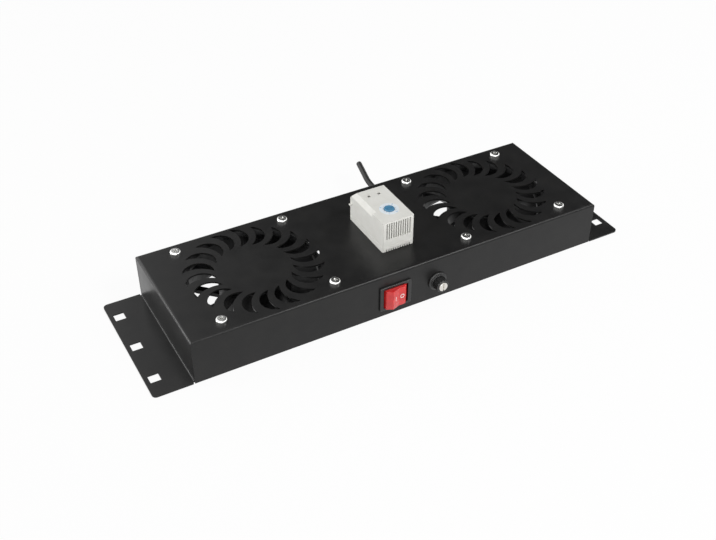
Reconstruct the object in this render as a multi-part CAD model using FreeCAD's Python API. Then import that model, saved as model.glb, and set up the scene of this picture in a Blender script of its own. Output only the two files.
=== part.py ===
import FreeCAD, Part
import math
import os

# Rack fan tray, 19-inch, three units deep: a bent sheet-steel casing with two
# axial fans, a thermostat, a mains switch and a fuse holder.
# Frame: millimetres, +X along the rack's width, +Y towards the rear wall with
# the mains cord, +Z up. The origin is the middle of the six mounting holes, on
# the flanges' underside.

V = FreeCAD.Vector
X_AXIS = V(1, 0, 0)
Y_AXIS = V(0, 1, 0)
Z_AXIS = V(0, 0, 1)

# ---------------------------------------------------------------- casing
rack_width = 482.6            # over both flanges
flange_width = 36.3           # end wall to flange tip
body_length = rack_width - 2 * flange_width
body_height = 44.4            # flange underside to top
sheet = 1.5                   # steel thickness
bend_inner = 1.0              # inside radius of every bend
seam_gap = 0.4                # between neighbouring folded walls
wall_lift = 0.3               # front and rear walls stop this far above the flanges' underside
relief_width = 2.0            # notch where a flange passes a wall corner
flange_corner_radius = 4.0
rack_hole_spacing = 465.1     # between the two columns of mounting holes
rack_hole_pitch = 44.45       # one rack unit
rack_hole_count = 3           # in each column
rack_hole_side = 9.5          # square, for cage nuts

# ---------------------------------------------------------------- air slots
slot_count = 20
slot_inner_radius = 34.0      # inner tips
slot_outer_radius = 62.0      # outer tips
slot_inner_angle = 14.7
slot_outer_angle = 15.2
slot_convex_bulge = 12.8      # sagitta of the crescent's outer edge
slot_concave_bulge = 4.6      # sagitta of its inner edge

# ---------------------------------------------------------------- fans
fan_size = 119.5
fan_spacing = 0.584 * body_length
fan_wall_gap = 6.25           # fan frame to the front and rear walls' outer faces
middle_bay = fan_spacing - fan_size
body_depth = fan_size + 2 * fan_wall_gap
fan_depth = 38.0
fan_hole_inset = 7.25         # screw holes to the frame's edges
fan_hole_pitch = fan_size - 2 * fan_hole_inset
fan_hole_diameter = 4.5
fan_corner_radius = 5.0
fan_plate = 4.5               # thickness of the frame's square flanges
barrel_wall = 2.0
barrel_margin = 0.75          # barrel to the frame's edge
barrel_radius = fan_size / 2 - barrel_margin - barrel_wall
flare_depth = 4.0
flare_width = 1.6
spoke_count = 4
spoke_width = 6.0
spoke_height = 4.0
motor_plate_radius = 30.0
motor_plate = 3.0
tube_radius = 7.5             # bearing tube
tube_top_gap = 2.0            # below the rotor's boss
tube_floor = 2.0
hub_radius = 32.0
hub_wall = 2.2
hub_top_gap = 3.0             # hub to the casing's top sheet
hub_floor_gap = 2.5           # hub to the motor plate
hub_edge_radius = 2.0
boss_radius = 5.5
boss_length = 5.0
blade_count = 5
blade_tip_gap = 1.2
blade_edge_gap = 1.5          # blade edges inside the hub's height
blade_thickness = 2.4
blade_camber = 4.0
blade_root_pitch = 47.0       # degrees from the plane of rotation
blade_tip_pitch = 30.0
rotor_rest_angle = -17.0
shaft_radius = 2.5
running_gap = 0.03            # shaft in its bearings
press_gap = 0.05              # between pieces of one body that fit in each other
bearing_radius = 5.5
bearing_width = 4.0
air_gap = 0.7                 # stator to hub
stator_height = 14.0
coil_overhang = 3.5
coil_width = 18.0
coil_gap = 0.3
neck_width = 9.0
shoe_depth = 4.0
clip_thickness = 0.6
clip_radius = 3.8
clip_groove = 0.4
fan_terminal_y = 18.75 - fan_size / 2
fan_terminal_width = 10.0
fan_terminal_length = 8.0
fan_terminal_height = 9.0
fan_tab_reach = 7.0
fan_tab_spacing = 5.0
fan_tab_thickness = 0.8
fan_tab_height = 4.0
plug_length = 9.0
plug_width = 9.0
plug_height = 7.0

# ---------------------------------------------------------------- fasteners
screw_radius = 2.0
screw_length = 12.0
screw_head_radius = 4.9
screw_head_height = 3.0
recess_width = 1.1
recess_length = 4.8
recess_depth = 1.6
nut_across_flats = 7.0
nut_height = 3.2
washer_radius = 3.6
washer_thickness = 0.9

# ---------------------------------------------------------------- thermostat
thermostat_x = 5.3
thermostat_y = -5.45
thermostat_width = 32.0
thermostat_length = 61.0
thermostat_height = 31.0
thermostat_wall = 1.6
thermostat_corner = 1.5
thermostat_chamfer = 4.0      # along the left top edge
chamfer_stop = 19.0           # plain length at the grille end
rear_slope_length = 6.5       # the cover's rear end slopes down over this length
rear_slope_drop = 8.0
dial_radius = 4.7
dial_from_end = 18.6
dial_offset = 1.0
dial_height = 0.9             # above the cover
dial_gap = 0.4
dial_slot_width = 1.2
dial_lip = 1.2                # hidden flange under the cover
dial_stem_radius = 2.0
grille_slots = 11
grille_pitch = 2.35
grille_slot_width = 1.1
grille_bottom = 12.5          # above the tray's top
grille_rim = 1.4              # from the slots' upper ends to the cover's top
vent_height = 2.4
access_hole_radius = 1.7
access_spacing = 10.3
access_from_end = 16.2
side_tab_size = 2.4
side_tab_level = 18.0         # above the tray's top
base_thickness = 2.5
base_gap = 0.3
contact_block_half = 10.0     # half its width
contact_block_height = 16.0
contact_block_end = 5.5       # past the dial and past the terminal screws
contact_pocket_half = 8.0
contact_pocket_floor = 4.0
contact_pocket_end = 6.0      # from the dial and from the terminal screws
contact_screw_radius = 1.6
contact_screw_length = 6.5
contact_screw_head = 2.8
bimetal_width = 8.0
bimetal_thickness = 0.6
bimetal_rise = 3.0            # its ends above the pocket's floor
bimetal_crown = 2.0
rail_bridge = 35.0            # sheet left between the two rail slots
rail_slot_length = 26.0
rail_slot_width = 5.0
hook_gap = 0.3
hook_thickness = 2.4
hook_reach = 2.2
grommet_hole_radius = 4.5
grommet_from_end = 21.0
grommet_lip = 1.2

# ---------------------------------------------------------------- switch
switch_x = -0.125 * middle_bay
switch_z = 20.0
bezel_length = 31.6
bezel_height = 25.4
bezel_thickness = 2.0
bezel_edge = 0.8
switch_body_length = 28.2
switch_body_height = 22.0
switch_body_depth = 25.0
switch_cutout_gap = 0.2
rocker_radius = 12.4          # end faces, about the pivot
rocker_height = 19.6
rocker_ridge_x = 7.0          # ridges each side of the middle
rocker_ridge_rise = 4.0       # above the bezel, before the rocker is tilted
rocker_middle_rise = 2.8
rocker_tilt = 11.0
rocker_gap = 0.35
rocker_depth = 4.0            # behind the pivot
pivot_depth = 1.5             # behind the wall's outer face
pivot_pin_radius = 1.5
pivot_pin_length = 0.7
lamp_radius = 2.0
lamp_length = 6.0
tab_width = 6.3
tab_thickness = 0.8
tab_length = 8.0
switch_tab_x = 6.0
switch_tab_z = 5.0
sleeve_width = 8.6
sleeve_height = 4.4
sleeve_length = 17.0
sleeve_corner = 1.2
sleeve_overlap = 6.5          # how far a sleeve slides over its tab

# ---------------------------------------------------------------- fuse holder
fuse_x = 0.242 * middle_bay
fuse_z = 19.0
fuse_flange_radius = 9.3
fuse_flange_thickness = 2.0
fuse_rim_radius = 7.6
fuse_rim_height = 1.2
fuse_body_radius = 6.0
fuse_body_depth = 30.0        # behind the wall's outer face
fuse_bore_radius = 4.9
fuse_cap_radius = 6.2
fuse_cap_reach = 10.0         # in front of the wall
fuse_cap_flutes = 14
fuse_skirt_gap = 0.3
fuse_skirt_length = 10.0
fuse_insert_radius = 4.3
fuse_insert_rise = 1.0        # in front of the cap
fuse_radius = 2.5
fuse_length = 20.0
fuse_cap_length = 5.0
fuse_nut_flats = 15.0
fuse_nut_height = 3.5

# ---------------------------------------------------------------- mains entry and earth
gland_x = middle_bay / 2 - 8.0
gland_z = 22.0
gland_flange_radius = 8.0
gland_flange_thickness = 3.0
gland_thread_radius = 6.0
gland_thread_length = 9.0
gland_tail_length = 20.0
gland_tail_root = 5.4
gland_tail_tip = 4.0
gland_ribs = 5
gland_nut_flats = 17.0
gland_nut_height = 4.0
cord_diameter = 5.8
cord_straight = 11.5          # first run, straight back from the gland
cord_reach = 50.4             # behind the gland
cord_lean = 10.6              # towards +X over that reach
cord_droop = 2.0
inner_sheath = 9.0            # sheath inside the casing, past the gland
wire_diameter = 2.0
earth_x = gland_x - 24.0
earth_z = 20.0
earth_screw_length = 11.0
lug_thickness = 0.8
lug_radius = 4.2
lug_length = 9.0
lug_barrel = 5.0
lug_barrel_radius = 1.9
lug_neck_width = 3.2
lug_turn = 135.0              # of its barrel, from straight down towards the cord

# ---------------------------------------------------------------- terminal block
block_x = earth_x - 32.0
block_poles = 3
block_pitch = 10.0
block_end = 4.0               # past the outer poles
block_height = 15.0
block_depth = 16.0
block_z = 21.5
block_step = 5.0
block_screw_radius = 1.45
block_screw_head = 2.8
block_screw_head_height = 1.8
pole_bore = 2.3
pole_screw_radius = 1.7
pole_screw_inset = 4.0        # from the block's top and bottom


# ================================================================ helpers
def box(x0, x1, y0, y1, z0, z1):
    return Part.makeBox(x1 - x0, y1 - y0, z1 - z0, V(x0, y0, z0))


def cylinder(radius, base, axis, length):
    return Part.makeCylinder(radius, length, base, axis)


def ring(outer, inner, base, axis, length):
    return cylinder(outer, base, axis, length).cut(cylinder(inner, base, axis, length))


def fuse_all(solids):
    first = solids[0]
    if len(solids) == 1:
        return first
    return first.multiFuse(solids[1:]).removeSplitter()


def edges_where(shape, test):
    return [edge for edge in shape.Edges if test(edge)]


def runs_along(edge, axis):
    if not isinstance(edge.Curve, Part.Line):
        return False
    return abs(abs(edge.tangentAt(edge.FirstParameter).dot(axis)) - 1) < 1e-6


def at_height(edge, z):
    return all(abs(vertex.Z - z) < 1e-6 for vertex in edge.Vertexes)


def rounded_box(x0, x1, y0, y1, z0, z1, radius, axis=Z_AXIS):
    """A box whose four edges along one axis are rounded."""
    plain = box(x0, x1, y0, y1, z0, z1)
    return plain.makeFillet(radius, edges_where(plain, lambda edge: runs_along(edge, axis)))


def hexagon(across_flats, base, axis, length):
    """A hexagonal prism about an axis along Y or Z."""
    corner = across_flats / math.sqrt(3)
    points = []
    for i in range(7):
        angle = math.radians(60 * i + 30)
        across = corner * math.cos(angle)
        along = corner * math.sin(angle)
        offset = V(across, along, 0) if axis == Z_AXIS else V(across, 0, along)
        points.append(base + offset)
    return Part.Face(Part.makePolygon(points)).extrude(axis * length)


def turned(points, base, axis=Z_AXIS):
    """A solid of revolution from (radius, height) points about an axis through base."""
    side = X_AXIS
    places = [base + side * radius + axis * height for radius, height in points]
    outline = Part.Face(Part.makePolygon(places + [places[0]]))
    return outline.revolve(base, axis, 360)


def route_edges(points):
    """Straight runs joined by tangent arcs, each as large as its two runs allow."""
    edges = []
    radii = []
    start = points[0]
    for before, corner, after in zip(points, points[1:], points[2:]):
        back = (before - corner).normalize()
        ahead = (after - corner).normalize()
        half_turn = (math.pi - back.getAngle(ahead)) / 2
        shorter = min((before - corner).Length, (after - corner).Length)
        setback = 0.45 * shorter
        radius = setback / math.tan(half_turn)
        first = corner + back * setback
        last = corner + ahead * setback
        centre = corner + (back + ahead).normalize() * (radius / math.cos(half_turn))
        middle = centre + (corner - centre).normalize() * radius
        edges.append(Part.LineSegment(start, first).toShape())
        edges.append(Part.Arc(first, middle, last).toShape())
        radii.append(radius)
        start = last
    edges.append(Part.LineSegment(start, points[-1]).toShape())
    return edges, radii


def tube(points, diameter, name):
    """A round cable or wire along a route, with its bend radii printed."""
    edges, radii = route_edges(points)
    path = Part.Wire(edges)
    direction = points[1] - points[0]
    section = Part.Wire(Part.makeCircle(diameter / 2, points[0], direction))
    solid = path.makePipeShell([section], True, False)
    solid = Part.Solid(solid) if solid.ShapeType == "Shell" else solid
    expected = math.pi * diameter ** 2 / 4 * path.Length
    print("%s: length %.1f, tightest bend %.1f, volume share %.4f"
          % (name, path.Length, min(radii), solid.Volume / expected))
    return solid


def pan_head_screw(base, axis, radius, length, head_radius, head_height):
    """A pan-head screw with a cross recess; base is under the head, axis points out of it."""
    dome = 0.5 * head_height
    head = cylinder(head_radius, base, axis, head_height)
    top = edges_where(head, lambda edge: abs((edge.CenterOfMass - base).dot(axis) - head_height) < 1e-6)
    head = head.makeFillet(dome, top)
    screw = head.fuse(cylinder(radius, base - axis * length, axis, length))
    scale = head_radius / screw_head_radius
    half = recess_length * scale / 2
    thin = recess_width * scale / 2
    deep = recess_depth * scale
    cross = fuse_all([box(-half, half, -thin, thin, -deep, 1), box(-thin, thin, -half, half, -deep, 1)])
    turn = FreeCAD.Rotation(Z_AXIS, axis)
    cross.Placement = FreeCAD.Placement(base + axis * head_height, turn)
    return screw.cut(cross)


nodes = {}


def keep(name, *solids):
    nodes[name] = Part.makeCompound(list(solids)) if len(solids) > 1 else solids[0]


# ================================================================ places
half_length = body_length / 2
half_depth = body_depth / 2
bend_outer = bend_inner + sheet
top_under = body_height - sheet
front_face = -half_depth
rear_face = half_depth
front_inside = front_face + sheet
rear_inside = rear_face - sheet
fan_centres = {"left": V(-fan_spacing / 2, 0, 0), "right": V(fan_spacing / 2, 0, 0)}
fan_bottom = top_under - fan_depth
screw_offsets = [V(i * fan_hole_pitch / 2, j * fan_hole_pitch / 2, 0) for i in (-1, 1) for j in (-1, 1)]
thermostat_front = thermostat_y - thermostat_length / 2
thermostat_rear = thermostat_y + thermostat_length / 2
grommet_place = V(thermostat_x, thermostat_rear - grommet_from_end, 0)
block_half = (block_poles - 1) * block_pitch / 2 + block_end
pole_places = [block_x + (i - (block_poles - 1) / 2) * block_pitch for i in range(block_poles)]
block_screw_places = [block_x + side * block_pitch / 2 for side in (-1, 1)]


# ================================================================ casing
def crescent(centre):
    """One air slot: two arcs that share their tips, through the top sheet."""
    def polar(radius, angle):
        return V(radius * math.cos(math.radians(angle)), radius * math.sin(math.radians(angle)), 0)
    inner_tip = polar(slot_inner_radius, slot_inner_angle)
    outer_tip = polar(slot_outer_radius, slot_outer_angle)
    chord = outer_tip - inner_tip
    side = V(chord.y, -chord.x, 0).normalize()
    middle = (inner_tip + outer_tip) * 0.5
    lift = centre + V(0, 0, top_under - 1)
    convex = Part.Arc(lift + inner_tip, lift + middle + side * slot_convex_bulge, lift + outer_tip)
    concave = Part.Arc(lift + outer_tip, lift + middle + side * slot_concave_bulge, lift + inner_tip)
    outline = Part.Face(Part.Wire([convex.toShape(), concave.toShape()]))
    return outline.extrude(V(0, 0, sheet + 2))


def slot_swirl(centre):
    swirl = []
    for i in range(slot_count):
        slot = crescent(centre)
        slot.rotate(centre, Z_AXIS, 360 * i / slot_count)
        swirl.append(slot)
    return swirl


def flange(side):
    """One mounting flange and the bend that joins it to its end wall."""
    tip = side * rack_width / 2
    wall = side * half_length
    centre_x = wall + side * bend_inner
    relief_x = centre_x + side * (relief_width - bend_inner)
    plate = box(min(tip, relief_x), max(tip, relief_x), front_face, rear_face, 0, sheet)
    corners = edges_where(plate, lambda edge: runs_along(edge, Z_AXIS)
                          and abs(edge.CenterOfMass.x - tip) < 1e-6)
    plate = plate.makeFillet(flange_corner_radius, corners)
    slant = math.sqrt(0.5)
    start_y = front_inside + seam_gap
    end_y = rear_inside - seam_gap

    def place(x, z):
        return V(x, start_y, z)
    inner_middle = place(centre_x - side * bend_inner * slant, bend_outer - bend_inner * slant)
    outer_middle = place(centre_x - side * bend_outer * slant, bend_outer - bend_outer * slant)
    outline = Part.Wire([
        Part.LineSegment(place(relief_x + side, sheet), place(centre_x, sheet)).toShape(),
        Part.Arc(place(centre_x, sheet), inner_middle, place(wall, bend_outer)).toShape(),
        Part.LineSegment(place(wall, bend_outer), place(wall - side * sheet, bend_outer)).toShape(),
        Part.Arc(place(wall - side * sheet, bend_outer), outer_middle, place(centre_x, 0)).toShape(),
        Part.LineSegment(place(centre_x, 0), place(relief_x + side, 0)).toShape(),
        Part.LineSegment(place(relief_x + side, 0), place(relief_x + side, sheet)).toShape(),
    ])
    bend = Part.Face(outline).extrude(V(0, end_y - start_y, 0))
    return [plate, bend]


def tray_shell():
    outer = box(-half_length, half_length, front_face, rear_face, 0, body_height)
    outer = outer.makeFillet(bend_outer, edges_where(outer, lambda edge: at_height(edge, body_height)))
    inner = box(-half_length + sheet, half_length - sheet, front_inside, rear_inside, -1, top_under)
    inner = inner.makeFillet(bend_inner, edges_where(inner, lambda edge: at_height(edge, top_under)))
    shell = outer.cut(inner)

    trims = []
    seam_top = body_height - bend_outer
    for side in (-1, 1):
        wall = side * half_length
        low, high = sorted((wall + side, wall - side * sheet))
        trims.append(box(low, high, front_inside, rear_inside, -1, bend_outer))
        trims.append(box(low, high, front_inside, front_inside + seam_gap, -1, seam_top))
        trims.append(box(low, high, rear_inside - seam_gap, rear_inside, -1, seam_top))
    trims.append(box(-half_length - 1, half_length + 1, front_face - 1, front_inside, -1, wall_lift))
    trims.append(box(-half_length - 1, half_length + 1, rear_inside, rear_face + 1, -1, wall_lift))
    shell = shell.cut(Part.makeCompound(trims))
    shell = fuse_all([shell] + flange(-1) + flange(1))

    holes = []
    for centre in fan_centres.values():
        holes += slot_swirl(centre)
        for offset in screw_offsets:
            place = centre + offset + V(0, 0, top_under - 1)
            holes.append(cylinder(fan_hole_diameter / 2, place, Z_AXIS, sheet + 2))
    half_hole = rack_hole_side / 2
    for side in (-1, 1):
        x = side * rack_hole_spacing / 2
        for i in range(rack_hole_count):
            y = (i - (rack_hole_count - 1) / 2) * rack_hole_pitch
            holes.append(box(x - half_hole, x + half_hole, y - half_hole, y + half_hole, -1, sheet + 1))
    for side in (-1, 1):
        near = thermostat_y + side * rail_bridge / 2
        low, high = sorted((near, near + side * rail_slot_width))
        holes.append(box(thermostat_x - rail_slot_length / 2, thermostat_x + rail_slot_length / 2,
                         low, high, top_under - 1, body_height + 1))
    holes.append(cylinder(grommet_hole_radius, grommet_place + V(0, 0, top_under - 1), Z_AXIS, sheet + 2))
    half_cutout = switch_body_length / 2 + switch_cutout_gap
    half_tall = switch_body_height / 2 + switch_cutout_gap
    holes.append(box(switch_x - half_cutout, switch_x + half_cutout, front_face - 1, front_inside + 1,
                     switch_z - half_tall, switch_z + half_tall))
    holes.append(cylinder(fuse_body_radius + press_gap, V(fuse_x, front_face - 1, fuse_z),
                          Y_AXIS, sheet + 2))
    holes.append(cylinder(gland_thread_radius + press_gap, V(gland_x, rear_inside - 1, gland_z),
                          Y_AXIS, sheet + 2))
    holes.append(cylinder(screw_radius + press_gap, V(earth_x, rear_inside - 1, earth_z),
                          Y_AXIS, sheet + 2))
    for x in block_screw_places:
        holes.append(cylinder(block_screw_radius + press_gap, V(x, rear_inside - 1, block_z),
                              Y_AXIS, sheet + 2))
    return shell.cut(Part.makeCompound(holes))


# ================================================================ fan
plate_top = fan_bottom + motor_plate
hub_top = top_under - hub_top_gap
hub_bottom = plate_top + hub_floor_gap
hub_ceiling = hub_top - hub_wall
boss_bottom = hub_ceiling - boss_length
tube_top = boss_bottom - tube_top_gap
bearing_bore = bearing_radius + press_gap
stator_radius = hub_radius - hub_wall - air_gap
stator_bottom = plate_top + coil_overhang + 1.0
lower_bearing = fan_bottom + tube_floor + 2.5
upper_bearing = tube_top - bearing_width


def fan_frame():
    half = fan_size / 2
    outer = barrel_radius + barrel_wall
    base = V(0, 0, fan_bottom)
    top = V(0, 0, top_under)
    solid = fuse_all([
        rounded_box(-half, half, -half, half, fan_bottom, fan_bottom + fan_plate, fan_corner_radius),
        rounded_box(-half, half, -half, half, top_under - fan_plate, top_under, fan_corner_radius),
        cylinder(outer, base, Z_AXIS, fan_depth),
    ])
    wide = barrel_radius + flare_width
    cuts = [
        cylinder(barrel_radius, base, Z_AXIS, fan_depth),
        Part.makeCone(wide, barrel_radius, flare_depth, base, Z_AXIS),
        Part.makeCone(wide, barrel_radius, flare_depth, top, -Z_AXIS),
    ]
    for offset in screw_offsets:
        cuts.append(cylinder(fan_hole_diameter / 2, base + offset, Z_AXIS, fan_depth))
    solid = solid.cut(Part.makeCompound(cuts))
    spokes = []
    for i in range(spoke_count):
        spoke = box(motor_plate_radius - 3, barrel_radius + barrel_wall / 2, -spoke_width / 2,
                    spoke_width / 2, fan_bottom, fan_bottom + spoke_height)
        spoke.rotate(V(0, 0, 0), Z_AXIS, 360 * (i + 0.5) / spoke_count)
        spokes.append(spoke)
    plate = cylinder(motor_plate_radius, base, Z_AXIS, motor_plate)
    bearing_tube = cylinder(tube_radius, base, Z_AXIS, tube_top - fan_bottom)
    solid = fuse_all([solid, plate, bearing_tube] + spokes)
    floor = V(0, 0, fan_bottom + tube_floor)
    return solid.cut(cylinder(bearing_bore, floor, Z_AXIS, tube_top))


def fan_stator():
    """Four-pole laminated core on the bearing tube."""
    base = V(0, 0, stator_bottom)
    yoke = ring(tube_radius + 5, tube_radius + press_gap, base, Z_AXIS, stator_height)
    shoes = ring(stator_radius, stator_radius - shoe_depth, base, Z_AXIS, stator_height)
    necks = []
    gaps = []
    for i in range(4):
        neck = box(tube_radius + 3, stator_radius - shoe_depth / 2, -neck_width / 2, neck_width / 2,
                   stator_bottom, stator_bottom + stator_height)
        neck.rotate(V(0, 0, 0), Z_AXIS, 90 * i)
        necks.append(neck)
        gap = box(stator_radius - shoe_depth - 1, stator_radius + 1, -3, 3,
                  stator_bottom - 1, stator_bottom + stator_height + 1)
        gap.rotate(V(0, 0, 0), Z_AXIS, 90 * i + 45)
        gaps.append(gap)
    return fuse_all([yoke, shoes] + necks).cut(Part.makeCompound(gaps))


def fan_coils():
    coils = []
    start = tube_radius + 5 + 1.0
    shoe_inner = stator_radius - shoe_depth
    end = math.sqrt(shoe_inner ** 2 - (coil_width / 2) ** 2) - coil_gap
    low = stator_bottom - coil_overhang
    high = stator_bottom + stator_height + coil_overhang
    for i in range(4):
        winding = rounded_box(start, end, -coil_width / 2, coil_width / 2, low, high, 3.0, X_AXIS)
        window = box(start - 1, end + 1, -neck_width / 2 - press_gap, neck_width / 2 + press_gap,
                     stator_bottom - press_gap, stator_bottom + stator_height + press_gap)
        coil = winding.cut(window)
        coil.rotate(V(0, 0, 0), Z_AXIS, 90 * i)
        coils.append(coil)
    trimmed = []
    for i, coil in enumerate(coils):
        wedge = quarter_wedge(90 * i, low - 1, high + 1)
        trimmed.append(coil.common(wedge))
    return trimmed


def quarter_wedge(angle, low, high):
    """The quarter of space about one pole, less a small gap to its neighbours."""
    reach = 2 * stator_radius
    gap = 0.5
    corner = V(gap, 0, low)
    outline = [corner, V(reach, reach - gap, low), V(reach, gap - reach, low), corner]
    wedge = Part.Face(Part.makePolygon(outline)).extrude(V(0, 0, high - low))
    wedge.rotate(V(0, 0, 0), Z_AXIS, angle)
    return wedge


def fan_bearings():
    bearings = []
    for z in (lower_bearing, upper_bearing):
        base = V(0, 0, z)
        bearing = ring(bearing_radius, shaft_radius + running_gap, base, Z_AXIS, bearing_width)
        middle = (bearing_radius + shaft_radius) / 2
        for level in (z, z + bearing_width - 0.4):
            groove = ring(middle + 0.5, middle - 0.5, V(0, 0, level), Z_AXIS, 0.4)
            bearing = bearing.cut(groove)
        bearings.append(bearing)
    return bearings


clip_level = lower_bearing - clip_thickness - 0.3


def fan_shaft():
    bottom = V(0, 0, clip_level - 1.0)
    shaft = cylinder(shaft_radius, bottom, Z_AXIS, hub_ceiling - bottom.z)
    groove = ring(shaft_radius + 1, shaft_radius - clip_groove, V(0, 0, clip_level), Z_AXIS, clip_thickness)
    return shaft.cut(groove)


def fan_clip():
    base = V(0, 0, clip_level + 0.02)
    thick = clip_thickness - 0.04
    clip = ring(clip_radius, shaft_radius - clip_groove + 0.03, base, Z_AXIS, thick)
    mouth = box(0, clip_radius + 1, -1.4, 1.4, clip_level - 1, clip_level + clip_thickness + 1)
    return clip.cut(mouth)


def blade_section(distance, pitch, height):
    """A thin cambered section in the plane at a given distance from the axis."""
    half_height = height / 2
    half_width = half_height / math.tan(math.radians(pitch))
    middle_z = (hub_top + hub_bottom) / 2
    trailing = V(distance, -half_width, middle_z - half_height)
    leading = V(distance, half_width, middle_z + half_height)
    normal = V(0, half_height, -half_width).normalize()
    centre = (leading + trailing) * 0.5
    under = Part.Arc(trailing, centre - normal * (blade_camber - blade_thickness / 2), leading)
    over = Part.Arc(leading, centre - normal * (blade_camber + blade_thickness / 2), trailing)
    return Part.Wire([under.toShape(), over.toShape()])


def fan_rotor():
    height = hub_top - hub_bottom
    base = V(0, 0, hub_bottom)
    hub = cylinder(hub_radius, base, Z_AXIS, height)
    hub = hub.makeFillet(hub_edge_radius, edges_where(hub, lambda edge: at_height(edge, hub_top)
                                                      and edge.Closed))
    hub = hub.cut(cylinder(hub_radius - hub_wall, base, Z_AXIS, hub_ceiling - hub_bottom))
    boss = cylinder(boss_radius, V(0, 0, boss_bottom), Z_AXIS, boss_length + hub_wall / 2)
    hub = hub.fuse(boss)
    hub = hub.cut(cylinder(shaft_radius + 0.02, V(0, 0, boss_bottom), Z_AXIS, hub_ceiling - boss_bottom))
    tip = barrel_radius - blade_tip_gap
    blade_height = height - 2 * blade_edge_gap
    near = hub_radius * 0.7
    far = tip + 2
    pitches = (blade_root_pitch, (blade_root_pitch + blade_tip_pitch) / 2, blade_tip_pitch)
    distances = (near, (near + far) / 2, far)
    sections = [blade_section(d, p, blade_height) for d, p in zip(distances, pitches)]
    blade = Part.makeLoft(sections, True, False)
    sweep = ring(tip, hub_radius - hub_wall / 2, base, Z_AXIS, height)
    blade = blade.common(sweep)
    blades = []
    for i in range(blade_count):
        copy = blade.copy()
        copy.rotate(V(0, 0, 0), Z_AXIS, 360 * i / blade_count + rotor_rest_angle)
        blades.append(copy)
    return fuse_all([hub] + blades)


terminal_z = fan_bottom + fan_plate
fan_tab_middle = terminal_z + fan_terminal_height / 2
fan_tab_offsets = [-fan_tab_spacing / 2, fan_tab_spacing / 2]


def fan_terminal(side):
    """Terminal housing on the frame's lower flange; its two tabs face the middle bay."""
    edge = side * fan_size / 2
    inner, outer = sorted((edge, edge - side * fan_terminal_length))
    low_y = fan_terminal_y - fan_terminal_width / 2
    housing = box(inner, outer, low_y, low_y + fan_terminal_width,
                  terminal_z, terminal_z + fan_terminal_height)
    tabs = []
    thin = fan_tab_thickness / 2
    for offset in fan_tab_offsets:
        start, end = sorted((edge - side, edge + side * fan_tab_reach))
        middle_y = fan_terminal_y + offset
        tabs.append(box(start, end, middle_y - thin, middle_y + thin,
                        fan_tab_middle - fan_tab_height / 2, fan_tab_middle + fan_tab_height / 2))
    return fuse_all([housing] + tabs)


def place_fan(side, centre):
    inward = 1 if side == "left" else -1

    def put(name, *solids):
        moved = []
        for solid in solids:
            copy = solid.copy()
            copy.translate(centre)
            moved.append(copy)
        keep(side + "_" + name, *moved)
    put("fan_frame", frame_solid)
    put("fan_stator", stator_solid)
    put("fan_coils", *coil_solids)
    put("fan_bearings", *bearing_solids)
    put("fan_shaft", shaft_solid)
    put("fan_clip", clip_solid)
    put("fan_rotor", rotor_solid)
    put("fan_terminal", fan_terminal(inward))


keep("tray_shell", tray_shell())
frame_solid = fan_frame()
stator_solid = fan_stator()
coil_solids = fan_coils()
bearing_solids = fan_bearings()
shaft_solid = fan_shaft()
clip_solid = fan_clip()
rotor_solid = fan_rotor()
for fan_side, fan_centre in fan_centres.items():
    place_fan(fan_side, fan_centre)

# ================================================================ fan fasteners
screws = []
washers = []
nuts = []
for fan_centre in fan_centres.values():
    for offset in screw_offsets:
        seat = fan_centre + offset + V(0, 0, body_height)
        screws.append(pan_head_screw(seat, Z_AXIS, screw_radius, screw_length,
                                     screw_head_radius, screw_head_height))
        washer_base = fan_centre + offset + V(0, 0, top_under - fan_plate - washer_thickness)
        washer = ring(washer_radius, screw_radius + press_gap, washer_base, Z_AXIS, washer_thickness)
        split = box(0, washer_radius + 1, -0.4, 0.4, 0, washer_thickness)
        split.translate(washer_base)
        washers.append(washer.cut(split))
        nut_base = washer_base - V(0, 0, nut_height)
        nut = hexagon(nut_across_flats, nut_base, Z_AXIS, nut_height)
        nuts.append(nut.cut(cylinder(screw_radius + press_gap, nut_base, Z_AXIS, nut_height)))
keep("fan_screws", *screws)
keep("fan_lock_washers", *washers)
keep("fan_nuts", *nuts)

# ================================================================ thermostat
half_width = thermostat_width / 2
cover_top = body_height + thermostat_height
cover_left = thermostat_x - half_width
cover_right = thermostat_x + half_width
dial_x = thermostat_x + dial_offset
dial_y = thermostat_front + dial_from_end
access_y = thermostat_rear - access_from_end
block_top = body_height + base_thickness + contact_block_height


def left_chamfer():
    """What the bevel along the left top edge takes off, from the rear end to the plain grille end."""
    start = thermostat_front + chamfer_stop
    low = cover_top - thermostat_chamfer - 1
    outline = [V(cover_left - 1, start, cover_top + 1), V(cover_left - 1, start, low),
               V(cover_left + thermostat_chamfer + 1, start, cover_top + 1)]
    wedge = Part.Face(Part.makePolygon(outline + [outline[0]]))
    return wedge.extrude(V(0, thermostat_rear - start + 1, 0))


def rear_slope():
    """What the slope over the cover's rear end takes off."""
    high = V(cover_left - 1, thermostat_rear - rear_slope_length, cover_top)
    low = V(cover_left - 1, thermostat_rear, cover_top - rear_slope_drop)
    along = (low - high) * 0.5
    outline = [high - along, low + along, V(high.x, low.y + along.y, high.z - along.z)]
    wedge = Part.Face(Part.makePolygon(outline + [outline[0]]))
    return wedge.extrude(V(thermostat_width + 2, 0, 0))


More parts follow.
